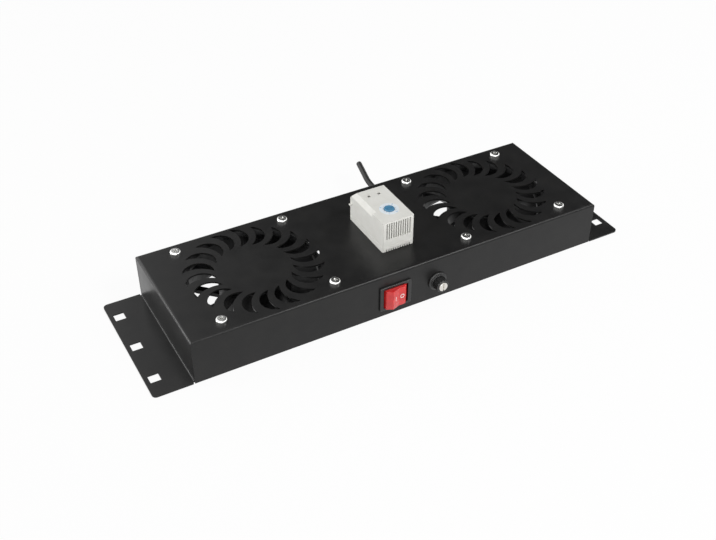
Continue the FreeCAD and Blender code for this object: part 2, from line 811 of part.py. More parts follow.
def thermostat_cover():
    outer = box(cover_left, cover_right, thermostat_front, thermostat_rear, body_height, cover_top)
    outer = outer.makeFillet(thermostat_corner, edges_where(outer, lambda e: runs_along(e, Z_AXIS)))
    outer = outer.cut(left_chamfer()).cut(rear_slope())
    inside = thermostat_wall
    inner = box(cover_left + inside, cover_right - inside, thermostat_front + inside,
                thermostat_rear - inside, body_height - 1, cover_top - inside)
    chamfer_inside = left_chamfer()
    chamfer_inside.translate(V(inside, -inside, -inside))
    slope_inside = rear_slope()
    slope_inside.translate(V(0, -inside, -inside))
    inner = inner.cut(chamfer_inside).cut(slope_inside)
    cover = outer.cut(inner)
    cuts = []
    first = thermostat_x - (grille_slots - 1) * grille_pitch / 2
    for i in range(grille_slots):
        x = first + i * grille_pitch
        low = x - grille_slot_width / 2
        high = x + grille_slot_width / 2
        cuts.append(box(low, high, thermostat_front - 1, thermostat_front + inside + 1,
                        body_height + grille_bottom, cover_top - grille_rim))
        cuts.append(box(low, high, thermostat_front - 1, thermostat_front + inside + 1,
                        body_height - 1, body_height + vent_height))
    cuts.append(cylinder(dial_radius + dial_gap, V(dial_x, dial_y, cover_top - 5), Z_AXIS, 10))
    for side in (-1, 1):
        place = V(thermostat_x + side * access_spacing / 2, access_y, cover_top - 5)
        cuts.append(cylinder(access_hole_radius, place, Z_AXIS, 10))
    cover = cover.cut(Part.makeCompound(cuts))
    tab_front = thermostat_rear - 2 * side_tab_size
    tab_low = body_height + side_tab_level
    tab = box(cover_left - side_tab_size, cover_left + inside / 2, tab_front, tab_front + side_tab_size,
              tab_low, tab_low + side_tab_size / 2)
    return cover.fuse(tab).removeSplitter()


def thermostat_base():
    """Base plate inside the cover, with two hooks under the bridge between the rail slots."""
    gap = thermostat_wall + base_gap
    plate = box(cover_left + gap, cover_right - gap, thermostat_front + gap, thermostat_rear - gap,
                body_height, body_height + base_thickness)
    hooks = []
    half = rail_slot_length / 2 - 1
    foot = top_under - hook_gap - hook_thickness
    for side in (-1, 1):
        near = thermostat_y + side * (rail_bridge / 2 + hook_gap)
        low, high = sorted((near, near + side * hook_thickness))
        hooks.append(box(thermostat_x - half, thermostat_x + half, low, high, foot, body_height + 1))
        low, high = sorted((near + side * 0.5, near - side * hook_reach))
        hooks.append(box(thermostat_x - half, thermostat_x + half, low, high, foot, top_under - hook_gap))
    plate = fuse_all([plate] + hooks)
    hole = cylinder(grommet_hole_radius + 1.5, grommet_place + V(0, 0, foot - 1), Z_AXIS,
                    body_height + base_thickness - foot + 2)
    return plate.cut(hole)


def thermostat_dial():
    """Flanged knob with a screwdriver slot, on a spindle that reaches the contact block."""
    lip = cover_top - thermostat_wall - dial_gap
    stem_bottom = block_top + 0.3
    dial = turned([
        (0, stem_bottom), (dial_stem_radius, stem_bottom), (dial_stem_radius, lip - dial_lip),
        (dial_radius + dial_lip, lip - dial_lip), (dial_radius + dial_lip, lip), (dial_radius, lip),
        (dial_radius, cover_top + dial_height - 0.5),
        (dial_radius - 0.5, cover_top + dial_height), (0, cover_top + dial_height),
    ], V(dial_x, dial_y, 0))
    slot = box(dial_x - dial_radius * 0.7, dial_x + dial_radius * 0.7, dial_y - dial_slot_width / 2,
               dial_y + dial_slot_width / 2, cover_top + 0.4, cover_top + dial_height + 1)
    return dial.cut(slot)


def thermostat_contact_block():
    floor = body_height + base_thickness
    body = box(thermostat_x - contact_block_half, thermostat_x + contact_block_half,
               dial_y - contact_block_end, access_y + contact_block_end, floor, block_top)
    pocket = box(thermostat_x - contact_pocket_half, thermostat_x + contact_pocket_half,
                 dial_y + contact_pocket_end, access_y - contact_pocket_end,
                 floor + contact_pocket_floor, block_top + 1)
    wire_room = cylinder(grommet_hole_radius + 1.0, grommet_place + V(0, 0, floor - 1), Z_AXIS,
                         contact_block_height / 2)
    cuts = [pocket, wire_room]
    for side in (-1, 1):
        deep = contact_screw_length + 0.5
        place = V(thermostat_x + side * access_spacing / 2, access_y, block_top - deep)
        cuts.append(cylinder(contact_screw_radius + press_gap, place, Z_AXIS, deep + 1))
    return body.cut(Part.makeCompound(cuts))


def thermostat_terminal_screws():
    solids = []
    for side in (-1, 1):
        base = V(thermostat_x + side * access_spacing / 2, access_y, block_top)
        solids.append(pan_head_screw(base, Z_AXIS, contact_screw_radius, contact_screw_length,
                                     contact_screw_head, contact_screw_radius))
    return solids


def thermostat_bimetal():
    """A bent bimetal strip standing in the contact block's pocket."""
    floor = body_height + base_thickness + contact_pocket_floor
    start = dial_y + contact_pocket_end + 0.5
    end = access_y - contact_pocket_end - 0.5
    middle = (start + end) / 2
    low = floor + bimetal_rise
    high = low + bimetal_thickness
    half = bimetal_width / 2

    def place(y, z):
        return V(thermostat_x - half, y, z)
    under = Part.Arc(place(start, low), place(middle, low + bimetal_crown), place(end, low))
    over = Part.Arc(place(end, high), place(middle, high + bimetal_crown), place(start, high))
    outline = Part.Wire([
        under.toShape(),
        Part.LineSegment(place(end, low), place(end, high)).toShape(),
        over.toShape(),
        Part.LineSegment(place(start, high), place(start, low)).toShape(),
    ])
    strip = Part.Face(outline).extrude(V(bimetal_width, 0, 0))
    foot = box(thermostat_x - half, thermostat_x + half, start, start + 2, floor, low + bimetal_thickness / 2)
    return strip.fuse(foot).removeSplitter()


def grommet():
    """Rubber bush in the wire hole, with a groove for the sheet's edge."""
    rim = grommet_hole_radius + grommet_lip
    hole = grommet_hole_radius - grommet_lip
    low = top_under - grommet_lip
    high = body_height + grommet_lip
    return turned([
        (hole, low), (rim, low), (rim, top_under), (grommet_hole_radius, top_under),
        (grommet_hole_radius, body_height), (rim, body_height), (rim, high), (hole, high),
    ], grommet_place)


keep("thermostat_cover", thermostat_cover())
keep("thermostat_base", thermostat_base())
keep("thermostat_dial", thermostat_dial())
keep("thermostat_contact_block", thermostat_contact_block())
keep("thermostat_terminal_screws", *thermostat_terminal_screws())
keep("thermostat_bimetal", thermostat_bimetal())
keep("thermostat_grommet", grommet())

# ================================================================ mains switch
pivot = V(switch_x, front_face + pivot_depth, switch_z)
bezel_face = front_face - bezel_thickness
rocker_half = rocker_height / 2
opening_half = rocker_half + 0.3
switch_back = front_face + switch_body_depth
lamp_floor = pivot.y + 7.5


def switch_frame():
    bezel = box(switch_x - bezel_length / 2, switch_x + bezel_length / 2, bezel_face, front_face,
                switch_z - bezel_height / 2, switch_z + bezel_height / 2)
    front_edges = edges_where(bezel, lambda e: all(abs(v.Y - bezel_face) < 1e-6 for v in e.Vertexes))
    bezel = bezel.makeFillet(bezel_edge, front_edges)
    body = box(switch_x - switch_body_length / 2, switch_x + switch_body_length / 2, front_face,
               switch_back, switch_z - switch_body_height / 2, switch_z + switch_body_height / 2)
    latches = []
    for side in (-1, 1):
        edge = switch_x + side * switch_body_length / 2
        start = front_inside + 0.2
        outline = [V(edge - side * 0.5, start, 0), V(edge + side * 1.0, start, 0),
                   V(edge - side * 0.5, start + 6, 0)]
        wedge = Part.Face(Part.makePolygon(outline + [outline[0]])).extrude(V(0, 0, 10))
        wedge.translate(V(0, 0, switch_z - 5))
        latches.append(wedge)
    frame = fuse_all([bezel, body] + latches)
    cavity = cylinder(rocker_radius + rocker_gap, V(pivot.x, pivot.y, switch_z - opening_half),
                      Z_AXIS, 2 * opening_half)
    reach = rocker_radius + rocker_gap
    front_half = box(switch_x - reach, switch_x + reach, bezel_face - 1, pivot.y,
                     switch_z - opening_half, switch_z + opening_half)
    pocket = box(switch_x - reach, switch_x + reach, pivot.y, lamp_floor,
                 switch_z - opening_half, switch_z + opening_half)
    mouth = cavity.common(fuse_all([front_half, pocket]))
    lamp_room = box(switch_x - 5, switch_x + 5, lamp_floor - 3, lamp_floor + lamp_length + 1,
                    switch_z - 4, switch_z + 4)
    pin_hole = cylinder(pivot_pin_radius + 0.05, pivot - V(0, 0, rocker_half + pivot_pin_length + 0.1),
                        Z_AXIS, 2 * (rocker_half + pivot_pin_length + 0.1))
    return frame.cut(mouth).cut(lamp_room).cut(pin_hole)


def rocker_outline():
    """The rocker's outline before it tilts: a shallow valley between two ridges, and a slope at each end."""
    ridge = bezel_face - rocker_ridge_rise
    valley = bezel_face - rocker_middle_rise
    back = pivot.y + rocker_depth
    end = math.sqrt(rocker_radius ** 2 - (pivot.y - bezel_face) ** 2)
    wide = rocker_radius + 1
    return [V(pivot.x - end, bezel_face, 0), V(pivot.x - rocker_ridge_x, ridge, 0), V(pivot.x, valley, 0),
            V(pivot.x + rocker_ridge_x, ridge, 0), V(pivot.x + end, bezel_face, 0),
            V(pivot.x + wide, pivot.y, 0), V(pivot.x + wide, back, 0),
            V(pivot.x - wide, back, 0), V(pivot.x - wide, pivot.y, 0)]


def switch_rocker():
    points = rocker_outline()
    block = Part.Face(Part.makePolygon(points + [points[0]])).extrude(V(0, 0, rocker_height))
    block.translate(V(0, 0, switch_z - rocker_half))
    drum = cylinder(rocker_radius, pivot - V(0, 0, rocker_half + 1), Z_AXIS, rocker_height + 2)
    rocker = block.common(drum)
    hollow = box(pivot.x - 6, pivot.x + 6, pivot.y + 0.5, pivot.y + rocker_depth + 1,
                 switch_z - rocker_half + 2.5, switch_z + rocker_half - 2.5)
    rocker = rocker.cut(hollow)
    pins = cylinder(pivot_pin_radius, pivot - V(0, 0, rocker_half + pivot_pin_length), Z_AXIS,
                    2 * (rocker_half + pivot_pin_length))
    pins = pins.cut(hollow)
    rocker = rocker.fuse(pins).removeSplitter()
    rocker.rotate(pivot, Z_AXIS, rocker_tilt)
    return rocker


def switch_lamp():
    """Neon tube standing in the housing behind the rocker."""
    base = V(switch_x, lamp_floor + lamp_length + 1, switch_z)
    glass = cylinder(lamp_radius, base, -Y_AXIS, lamp_length)
    tip = edges_where(glass, lambda e: abs(e.CenterOfMass.y - (base.y - lamp_length)) < 1e-6)
    return glass.makeFillet(lamp_radius * 0.8, tip)


switch_tab_places = {}
for column, side_x in (("left", -1), ("right", 1)):
    for row, side_z in (("lower", -1), ("upper", 1)):
        switch_tab_places[column + "_" + row] = V(switch_x + side_x * switch_tab_x, switch_back,
                                                  switch_z + side_z * switch_tab_z)


def blade_tab(root):
    """A push-on tab that stands out of a housing towards the rear."""
    half = tab_width / 2
    thin = tab_thickness / 2
    tab = box(root.x - half, root.x + half, root.y, root.y + tab_length, root.z - thin, root.z + thin)
    hole = cylinder(0.9, V(root.x, root.y + tab_length * 0.6, root.z - 1), Z_AXIS, 2)
    return tab.cut(hole)


keep("switch_frame", switch_frame())
keep("switch_rocker", switch_rocker())
keep("switch_lamp", switch_lamp())
keep("switch_tabs", *[blade_tab(place) for place in switch_tab_places.values()])

# ================================================================ fuse holder
fuse_axis = V(fuse_x, front_face, fuse_z)
flange_face = front_face - fuse_flange_thickness
cap_face = front_face - fuse_cap_reach
cap_seat = flange_face - 0.2
skirt_radius = fuse_bore_radius - fuse_skirt_gap
skirt_end = cap_seat + fuse_skirt_length
fuse_front = skirt_end - fuse_cap_length - 1.5
fuse_back = fuse_front + fuse_length
holder_back = front_face + fuse_body_depth


def along_fuse(y):
    return V(fuse_x, y, fuse_z)


def fuse_holder_body():
    rim_face = flange_face - fuse_rim_height
    flange_disc = cylinder(fuse_flange_radius, along_fuse(flange_face), Y_AXIS, fuse_flange_thickness)
    edge = edges_where(flange_disc, lambda e: abs(e.CenterOfMass.y - flange_face) < 1e-6 and e.Closed)
    flange_disc = flange_disc.makeFillet(1.0, edge)
    rim = cylinder(fuse_rim_radius, along_fuse(rim_face), Y_AXIS, fuse_rim_height + 1)
    barrel = cylinder(fuse_body_radius, along_fuse(front_face), Y_AXIS, fuse_body_depth)
    body = fuse_all([flange_disc, rim, barrel])
    cap_room = fuse_cap_radius + 0.4
    cuts = [
        cylinder(fuse_bore_radius, along_fuse(rim_face - 1), Y_AXIS, fuse_back + 1.0 - rim_face + 1),
        cylinder(cap_room, along_fuse(rim_face - 1), Y_AXIS, flange_face - rim_face + 1),
    ]
    return body.cut(Part.makeCompound(cuts))


def fuse_holder_nut():
    base = along_fuse(front_inside)
    nut = hexagon(fuse_nut_flats, base, Y_AXIS, fuse_nut_height)
    return nut.cut(cylinder(fuse_body_radius + press_gap, base, Y_AXIS, fuse_nut_height))


def fuse_cap():
    """Fluted cap with a hollow skirt that grips the cartridge's front end."""
    head = cylinder(fuse_cap_radius, along_fuse(cap_face), Y_AXIS, cap_seat - cap_face)
    end = edges_where(head, lambda e: abs(e.CenterOfMass.y - cap_face) < 1e-6 and e.Closed)
    head = head.makeFillet(0.8, end)
    flutes = []
    for i in range(fuse_cap_flutes):
        angle = 2 * math.pi * i / fuse_cap_flutes
        place = along_fuse(cap_face - 1) + V(math.cos(angle), 0, math.sin(angle)) * (fuse_cap_radius + 0.35)
        flutes.append(cylinder(0.8, place, Y_AXIS, cap_seat - cap_face - 0.6))
    head = head.cut(Part.makeCompound(flutes))
    skirt = cylinder(skirt_radius, along_fuse(cap_seat - 0.5), Y_AXIS, skirt_end - cap_seat + 0.5)
    cap = head.fuse(skirt).removeSplitter()
    bore = cylinder(fuse_radius + 0.3, along_fuse(fuse_front - 0.3), Y_AXIS, fuse_length)
    socket = cylinder(fuse_insert_radius, along_fuse(cap_face - 1), Y_AXIS, 2.4)
    return cap.cut(bore).cut(socket)


def fuse_cap_insert():
    """Slotted metal contact let into the cap's end."""
    face = cap_face - fuse_insert_rise
    disc = cylinder(fuse_insert_radius - press_gap, along_fuse(face), Y_AXIS, fuse_insert_rise + 1.4)
    slot = box(fuse_x - 0.6, fuse_x + 0.6, face - 1, face + 1.2,
               fuse_z - fuse_insert_radius, fuse_z + fuse_insert_radius)
    return disc.cut(slot)


def fuse_end_caps():
    caps = []
    for start in (fuse_front, fuse_back - fuse_cap_length):
        cap = cylinder(fuse_radius, along_fuse(start), Y_AXIS, fuse_cap_length)
        if start == fuse_front:
            hollow = cylinder(fuse_radius - 0.3, along_fuse(start + 0.4), Y_AXIS, fuse_cap_length)
        else:
            hollow = cylinder(fuse_radius - 0.3, along_fuse(start - 0.4), Y_AXIS, fuse_cap_length)
        caps.append(cap.cut(hollow))
    return caps


def fuse_glass():
    start = fuse_front + 0.45
    return ring(fuse_radius - 0.35, fuse_radius - 0.95, along_fuse(start), Y_AXIS, fuse_length - 0.9)


end_tab_root = along_fuse(holder_back)
side_tab_x = fuse_x - fuse_body_radius - sleeve_width / 2 - 0.4
side_tab_root = V(side_tab_x, holder_back - 10, fuse_z)


def fuse_tabs():
    """The end tab, and the side tab that is bent back along the holder."""
    reach = fuse_x - fuse_body_radius - side_tab_root.x
    arm = box(side_tab_root.x - tab_width / 2, side_tab_root.x + reach, side_tab_root.y - 3,
              side_tab_root.y, fuse_z - tab_thickness / 2, fuse_z + tab_thickness / 2)
    side = fuse_all([arm, blade_tab(side_tab_root)])
    return [blade_tab(end_tab_root), side]


keep("fuse_holder_body", fuse_holder_body())
keep("fuse_holder_nut", fuse_holder_nut())
keep("fuse_cap", fuse_cap())
keep("fuse_cap_insert", fuse_cap_insert())
keep("fuse_glass", fuse_glass())
keep("fuse_end_caps", *fuse_end_caps())
keep("fuse_tabs", *fuse_tabs())

# ================================================================ mains entry
gland_bore = cord_diameter / 2 + press_gap
gland_tip = rear_face + gland_flange_thickness + gland_tail_length


def along_gland(y):
    return V(gland_x, y, gland_z)


def cord_gland():
    """Moulded cord grip: threaded neck, flange and a ribbed, tapered tail."""
    neck = cylinder(gland_thread_radius, along_gland(rear_face - gland_thread_length), Y_AXIS,
                    gland_thread_length)
    disc = cylinder(gland_flange_radius, along_gland(rear_face), Y_AXIS, gland_flange_thickness)
    outer_edge = edges_where(disc, lambda e: abs(e.CenterOfMass.y - rear_face - gland_flange_thickness) < 1e-6
                             and e.Closed)
    disc = disc.makeFillet(1.0, outer_edge)
    tail_base = along_gland(rear_face + gland_flange_thickness)
    tail = Part.makeCone(gland_tail_root, gland_tail_tip, gland_tail_length, tail_base, Y_AXIS)
    gland = fuse_all([neck, disc, tail])
    grooves = []
    spacing = gland_tail_length / (gland_ribs + 1)
    for i in range(gland_ribs):
        y = rear_face + gland_flange_thickness + spacing * (i + 0.7)
        share = (i + 0.7) / (gland_ribs + 1)
        surface = gland_tail_root + (gland_tail_tip - gland_tail_root) * share
        grooves.append(ring(surface + 1, surface - 0.6, along_gland(y), Y_AXIS, spacing * 0.4))
    gland = gland.cut(Part.makeCompound(grooves))
    return gland.cut(cylinder(gland_bore, along_gland(rear_face - gland_thread_length - 1), Y_AXIS,
                              gland_tip - rear_face + gland_thread_length + 2))


def gland_nut():
    base = along_gland(rear_inside - gland_nut_height)
    nut = hexagon(gland_nut_flats, base, Y_AXIS, gland_nut_height)
    return nut.cut(cylinder(gland_thread_radius + press_gap, base, Y_AXIS, gland_nut_height))


sheath_end = rear_face - gland_thread_length - inner_sheath
cord_start = along_gland(gland_tip)
# The cord leaves straight back, then leans gently towards +X and droops a little.
cord_route = [
    cord_start,
    cord_start + V(0, cord_straight, 0),
    cord_start + V(cord_lean / 2, (cord_straight + cord_reach) / 2, -cord_droop * 0.3),
    cord_start + V(cord_lean, cord_reach, -cord_droop),
]


def cord_inner_end():
    """The sheath from the gland's tip into the casing, with its three cores cut level."""
    return cylinder(cord_diameter / 2, along_gland(sheath_end), Y_AXIS, gland_tip - sheath_end)


keep("cord_gland", cord_gland())
keep("gland_nut", gland_nut())
keep("cord_inner_end", cord_inner_end())
keep("power_cord", tube(cord_route, cord_diameter, "power_cord"))

# ================================================================ earth point
earth_place = V(earth_x, rear_face, earth_z)
lug_back = rear_inside - washer_thickness


def earth_screw():
    return pan_head_screw(earth_place, Y_AXIS, screw_radius, earth_screw_length, 4.0, 2.6)


def earth_washer():
    base = V(earth_x, lug_back, earth_z)
    return ring(washer_radius + 0.8, screw_radius + press_gap, base, Y_AXIS, washer_thickness)


def earth_lug():
    """Ring lug whose crimped barrel is turned up towards the mains cord."""
    face = lug_back - lug_thickness
    eye = ring(lug_radius, screw_radius + press_gap, V(earth_x, face, earth_z), Y_AXIS, lug_thickness)
    half = lug_neck_width / 2
    barrel_top = earth_z - lug_length + 0.5
    neck = box(earth_x - half, earth_x + half, face, lug_back, barrel_top - 1, earth_z - lug_radius + 0.8)
    barrel_y = lug_back - lug_barrel_radius
    barrel = cylinder(lug_barrel_radius, V(earth_x, barrel_y, barrel_top), -Z_AXIS, lug_barrel)
    bore = cylinder(wire_diameter / 2 + press_gap, V(earth_x, barrel_y, barrel_top - 1), -Z_AXIS, lug_barrel)
    lug = fuse_all([eye, neck, barrel]).cut(bore)
    lug.rotate(earth_place, Y_AXIS, -lug_turn)
    return lug


def earth_nut():
    base = V(earth_x, lug_back - lug_thickness - nut_height, earth_z)
    nut = hexagon(nut_across_flats, base, Y_AXIS, nut_height)
    return nut.cut(cylinder(screw_radius + press_gap, base, Y_AXIS, nut_height))


keep("earth_screw", earth_screw())
keep("earth_washer", earth_washer())
keep("earth_lug", earth_lug())
keep("earth_nut", earth_nut())

# ================================================================ terminal block
block_front = rear_inside - block_depth
block_bottom = block_z - block_height / 2
block_roof = block_z + block_height / 2
pole_y = rear_inside - block_depth * 0.45
pole_screw_levels = [block_bottom + pole_screw_inset, block_roof - pole_screw_inset]


def terminal_block():
    body = box(block_x - block_half, block_x + block_half, block_front, rear_inside, block_bottom, block_roof)
    cuts = []
    for x in pole_places:
        cuts.append(cylinder(pole_bore, V(x, pole_y, block_bottom - 1), Z_AXIS, block_height + 2))
        for z in pole_screw_levels:
            cuts.append(cylinder(pole_screw_radius + press_gap, V(x, block_front - 1, z), Y_AXIS,
                                 pole_y - block_front))
    for x in block_screw_places:
        cuts.append(cylinder(block_screw_radius + press_gap, V(x, block_front - 1, block_z), Y_AXIS,
                             block_depth + 2))
        notch = block_step / 2 + 0.4
        cuts.append(box(x - 0.8, x + 0.8, block_front - 1, rear_inside - block_step, block_roof - notch,
                        block_roof + 1))
        cuts.append(box(x - 0.8, x + 0.8, block_front - 1, rear_inside - block_step, block_bottom - 1,
                        block_bottom + notch))
    return body.cut(Part.makeCompound(cuts))


def terminal_screws():
    screws = []
    for x in pole_places:
        for z in pole_screw_levels:
            start = block_front + 1.0
            screw = cylinder(pole_screw_radius, V(x, start, z), Y_AXIS, pole_y - pole_bore - start)
            slot = box(x - 2, x + 2, start - 1, start + 0.8, z - 0.3, z + 0.3)
            screws.append(screw.cut(slot))
    return screws


def block_screws():
    screws = []
    for x in block_screw_places:
        place = V(x, rear_face, block_z)
        screws.append(pan_head_screw(place, Y_AXIS, block_screw_radius, block_depth - 3,
                                     block_screw_head, block_screw_head_height))
    return screws


keep("terminal_block", terminal_block())
keep("terminal_screws", *terminal_screws())
keep("block_screws", *block_screws())


# ================================================================ wiring
def sleeve(tab_root):
    """Insulated push-on connector over a tab: open where the tab enters, closed at the wire."""
    start = tab_root.y + tab_length - sleeve_overlap
    half = sleeve_width / 2
    thin = sleeve_height / 2
    body = rounded_box(tab_root.x - half, tab_root.x + half, start, start + sleeve_length,
                       tab_root.z - thin, tab_root.z + thin, sleeve_corner, Y_AXIS)
    pocket = box(tab_root.x - tab_width / 2 - 0.1, tab_root.x + tab_width / 2 + 0.1, start - 1,
                 start + sleeve_overlap + 0.5, tab_root.z - tab_thickness / 2 - 0.1,
                 tab_root.z + tab_thickness / 2 + 0.1)
    return body.cut(pocket)


def sleeve_end(tab_root):
    return tab_root + V(0, tab_length - sleeve_overlap + sleeve_length, 0)


def core_start(angle):
    """Where one of the three cores leaves the sheath, inside the casing."""
    reach = cord_diameter / 2 - wire_diameter / 2 - 0.4
    turn = math.radians(angle)
    return along_gland(sheath_end) + V(reach * math.cos(turn), 0, reach * math.sin(turn))


tab_roots = list(switch_tab_places.values()) + [end_tab_root, side_tab_root]
keep("tab_sleeves", *[sleeve(root) for root in tab_roots])

switch_in_live = sleeve_end(switch_tab_places["right_upper"])
switch_out_live = sleeve_end(switch_tab_places["left_upper"])
switch_in_neutral = sleeve_end(switch_tab_places["right_lower"])
switch_out_neutral = sleeve_end(switch_tab_places["left_lower"])
fuse_in = sleeve_end(end_tab_root)
fuse_out = sleeve_end(side_tab_root)
live_core = core_start(90)
neutral_core = core_start(210)
earth_core = core_start(330)
wire_top = body_height + base_thickness + 3
bay_ceiling = top_under - 9   # where wires cross below the top sheet
thermostat_in = V(thermostat_x - 1.5, grommet_place.y, wire_top)
thermostat_out = V(thermostat_x + 1.5, grommet_place.y, wire_top)
block_live = V(pole_places[-1], pole_y, block_roof - 3)
block_neutral = V(pole_places[0], pole_y, block_roof - 3)

live_supply = tube([
    live_core,
    live_core + V(0, -14, 0),
    fuse_in + V(10, 24, 3),
    fuse_in + V(0, 10, 0),
    fuse_in,
], wire_diameter, "live_supply")
live_to_switch = tube([
    fuse_out,
    fuse_out + V(0, 9, 0),
    fuse_out + V(-10, 20, 5),
    switch_in_live + V(6, 14, 3),
    switch_in_live + V(0, 7, 0),
    switch_in_live,
], wire_diameter, "live_to_switch")
live_to_thermostat = tube([
    switch_out_live,
    switch_out_live + V(0, 8, 0),
    V(thermostat_in.x - 12, thermostat_in.y - 4, bay_ceiling - 3),
    V(thermostat_in.x, thermostat_in.y, bay_ceiling),
    thermostat_in,
], wire_diameter, "live_to_thermostat")
live_to_fans = tube([
    thermostat_out,
    V(thermostat_out.x, thermostat_out.y, bay_ceiling - 1),
    V(thermostat_out.x + 1, thermostat_out.y + 16, bay_ceiling - 6),
    V(block_live.x, block_live.y - 14, block_roof + 8),
    V(block_live.x, block_live.y, block_roof + 9),
    block_live,
], wire_diameter, "live_to_fans")
neutral_supply = tube([
    neutral_core,
    neutral_core + V(0, -10, 0),
    neutral_core + V(-4, -24, -9),
    switch_in_neutral + V(24, 20, -5),
    switch_in_neutral + V(0, 11, 0),
    switch_in_neutral,
], wire_diameter, "neutral_supply")
neutral_to_fans = tube([
    switch_out_neutral,
    switch_out_neutral + V(0, 12, 0),
    V(block_neutral.x - 4, block_neutral.y - 34, block_roof - 4),
    V(block_neutral.x, block_neutral.y - 14, block_roof + 8),
    V(block_neutral.x, block_neutral.y, block_roof + 9),
    block_neutral,
], wire_diameter, "neutral_to_fans")
lug_direction = V(math.sin(math.radians(lug_turn)), 0, -math.cos(math.radians(lug_turn)))
lug_eye = V(earth_x, lug_back - lug_barrel_radius, earth_z)
lug_mouth = lug_eye + lug_direction * (lug_length - 0.5 + lug_barrel)
earth_lead = tube([
    earth_core,
    earth_core + V(0, -10, 0),
    earth_core + V(5, -11, 13),
    lug_mouth + lug_direction * 10 + V(0, -8, 0),
    lug_mouth + lug_direction * 8,
    lug_mouth - lug_direction * 2,
], wire_diameter, "earth_lead")
keep("brown_wires", live_supply, live_to_switch, live_to_thermostat, live_to_fans)
keep("blue_wires", neutral_supply, neutral_to_fans)
keep("earth_wire", earth_lead)


lead_lanes = {"left": 6.6, "right": 3.2}     # level of each fan's cores above the flanges' underside
lead_diameter = wire_diameter * 0.9


def fan_lead(side):
    """Plug on the fan's tabs and two cores that run to the terminal block."""
    sign = 1 if side == "left" else -1
    edge = fan_centres[side].x + sign * fan_size / 2
    start = edge + sign * 0.3
    low, high = sorted((start, start + sign * plug_length))
    plug = rounded_box(low, high, fan_terminal_y - plug_width / 2, fan_terminal_y + plug_width / 2,
                       fan_tab_middle - plug_height / 2, fan_tab_middle + plug_height / 2, 1.5, X_AXIS)
    room = fan_tab_thickness / 2 + 0.1
    tall = fan_tab_height / 2 + 0.1
    for offset in fan_tab_offsets:
        first, last = sorted((edge - sign, edge + sign * (fan_tab_reach + 0.3)))
        middle_y = fan_terminal_y + offset
        plug = plug.cut(box(first, last, middle_y - room, middle_y + room,
                            fan_tab_middle - tall, fan_tab_middle + tall))
    solids = [plug]
    lane = lead_lanes[side]
    near_pole, far_pole = pole_places[0], pole_places[-1]
    if side == "right":
        near_pole, far_pole = far_pole, near_pole
    for index, pole in ((-1, far_pole), (1, near_pole)):
        begin = V(start + sign * plug_length, fan_terminal_y + index * 1.6, fan_tab_middle)
        entry = V(pole - sign * 1.05, pole_y, block_bottom + 3)
        path = [
            begin,
            begin + V(sign * (6 - index * 2), 0, 0),
            V(begin.x + sign * (12 - index * 2), fan_terminal_y + 16, lane),
            V(begin.x + sign * (15 - index * 2), pole_y - 24 + 3 * index, lane),
            V(entry.x, pole_y, lane - 0.4),
            entry,
        ]
        solids.append(tube(path, lead_diameter, side + "_lead"))
    return solids


keep("left_fan_lead", *fan_lead("left"))
keep("right_fan_lead", *fan_lead("right"))

# ================================================================ export
os.makedirs("parts", exist_ok=True)
for name, shape in nodes.items():
    shape.exportStep("parts/%s.step" % name)
print("%d nodes" % len(nodes))
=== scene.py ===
"""Rack fan tray, dressed: folded black steel, two fans, thermostat, rocker switch and fuse holder.

Lengths are in metres; MM turns a length in millimetres into metres. +X runs along the rack, +Z up,
and the front wall with the switch faces -Y.
"""
import math

import bmesh
import bpy
from mathutils import Matrix, Vector


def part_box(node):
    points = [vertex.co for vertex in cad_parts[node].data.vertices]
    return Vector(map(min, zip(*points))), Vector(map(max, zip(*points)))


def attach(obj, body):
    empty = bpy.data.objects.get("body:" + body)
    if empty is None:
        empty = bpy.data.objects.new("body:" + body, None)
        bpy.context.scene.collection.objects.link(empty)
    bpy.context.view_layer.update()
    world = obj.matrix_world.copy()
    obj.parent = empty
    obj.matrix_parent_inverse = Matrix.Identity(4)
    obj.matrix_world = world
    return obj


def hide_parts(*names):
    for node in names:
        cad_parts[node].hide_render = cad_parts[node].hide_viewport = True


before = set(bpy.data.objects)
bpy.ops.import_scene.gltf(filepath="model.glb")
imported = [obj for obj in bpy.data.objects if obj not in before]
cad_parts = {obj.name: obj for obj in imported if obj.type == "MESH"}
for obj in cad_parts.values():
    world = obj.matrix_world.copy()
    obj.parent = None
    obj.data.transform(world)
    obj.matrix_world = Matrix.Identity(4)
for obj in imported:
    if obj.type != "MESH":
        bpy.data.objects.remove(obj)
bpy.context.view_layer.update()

MM = 0.001
ORIGIN = Vector((0, 0, 0))
ALONG = {"X": Vector((1, 0, 0)), "Y": Vector((0, 1, 0)), "Z": Vector((0, 0, 1))}
TURNED_TO = {"X": (0, math.pi / 2, 0), "Y": (-math.pi / 2, 0, 0), "Z": (0, 0, 0)}
OVERRUN = 1 * MM  # how far a cutter runs past what it cuts
NEAR = 0.1 * MM  # a corner this close to a face counts as on it


def point(x, y, z):
    return Vector((x, y, z))


def mm(x, y, z):
    return Vector((x, y, z)) * MM


def middle_of(node):
    low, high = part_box(node)
    return (low + high) / 2


# ---------------- bench tools
def leave_edit():
    bpy.ops.object.mode_set(mode="OBJECT")


def deselect_all():
    if bpy.context.mode != "OBJECT":
        leave_edit()
    bpy.ops.object.select_all(action="DESELECT")


def take(piece):
    """Only this piece is selected, and it is the active one."""
    deselect_all()
    piece.select_set(True)
    bpy.context.view_layer.objects.active = piece
    return piece


def edit_all(piece):
    """Opens the piece in edit mode with everything selected."""
    take(piece)
    bpy.ops.object.mode_set(mode="EDIT")
    bpy.ops.mesh.select_all(action="SELECT")


def settle(name):
    """Names the newest piece and puts its place into its mesh."""
    piece = bpy.context.active_object
    piece.name = name
    piece.data.name = name
    bpy.ops.object.transform_apply(location=True, rotation=True, scale=True)
    return piece


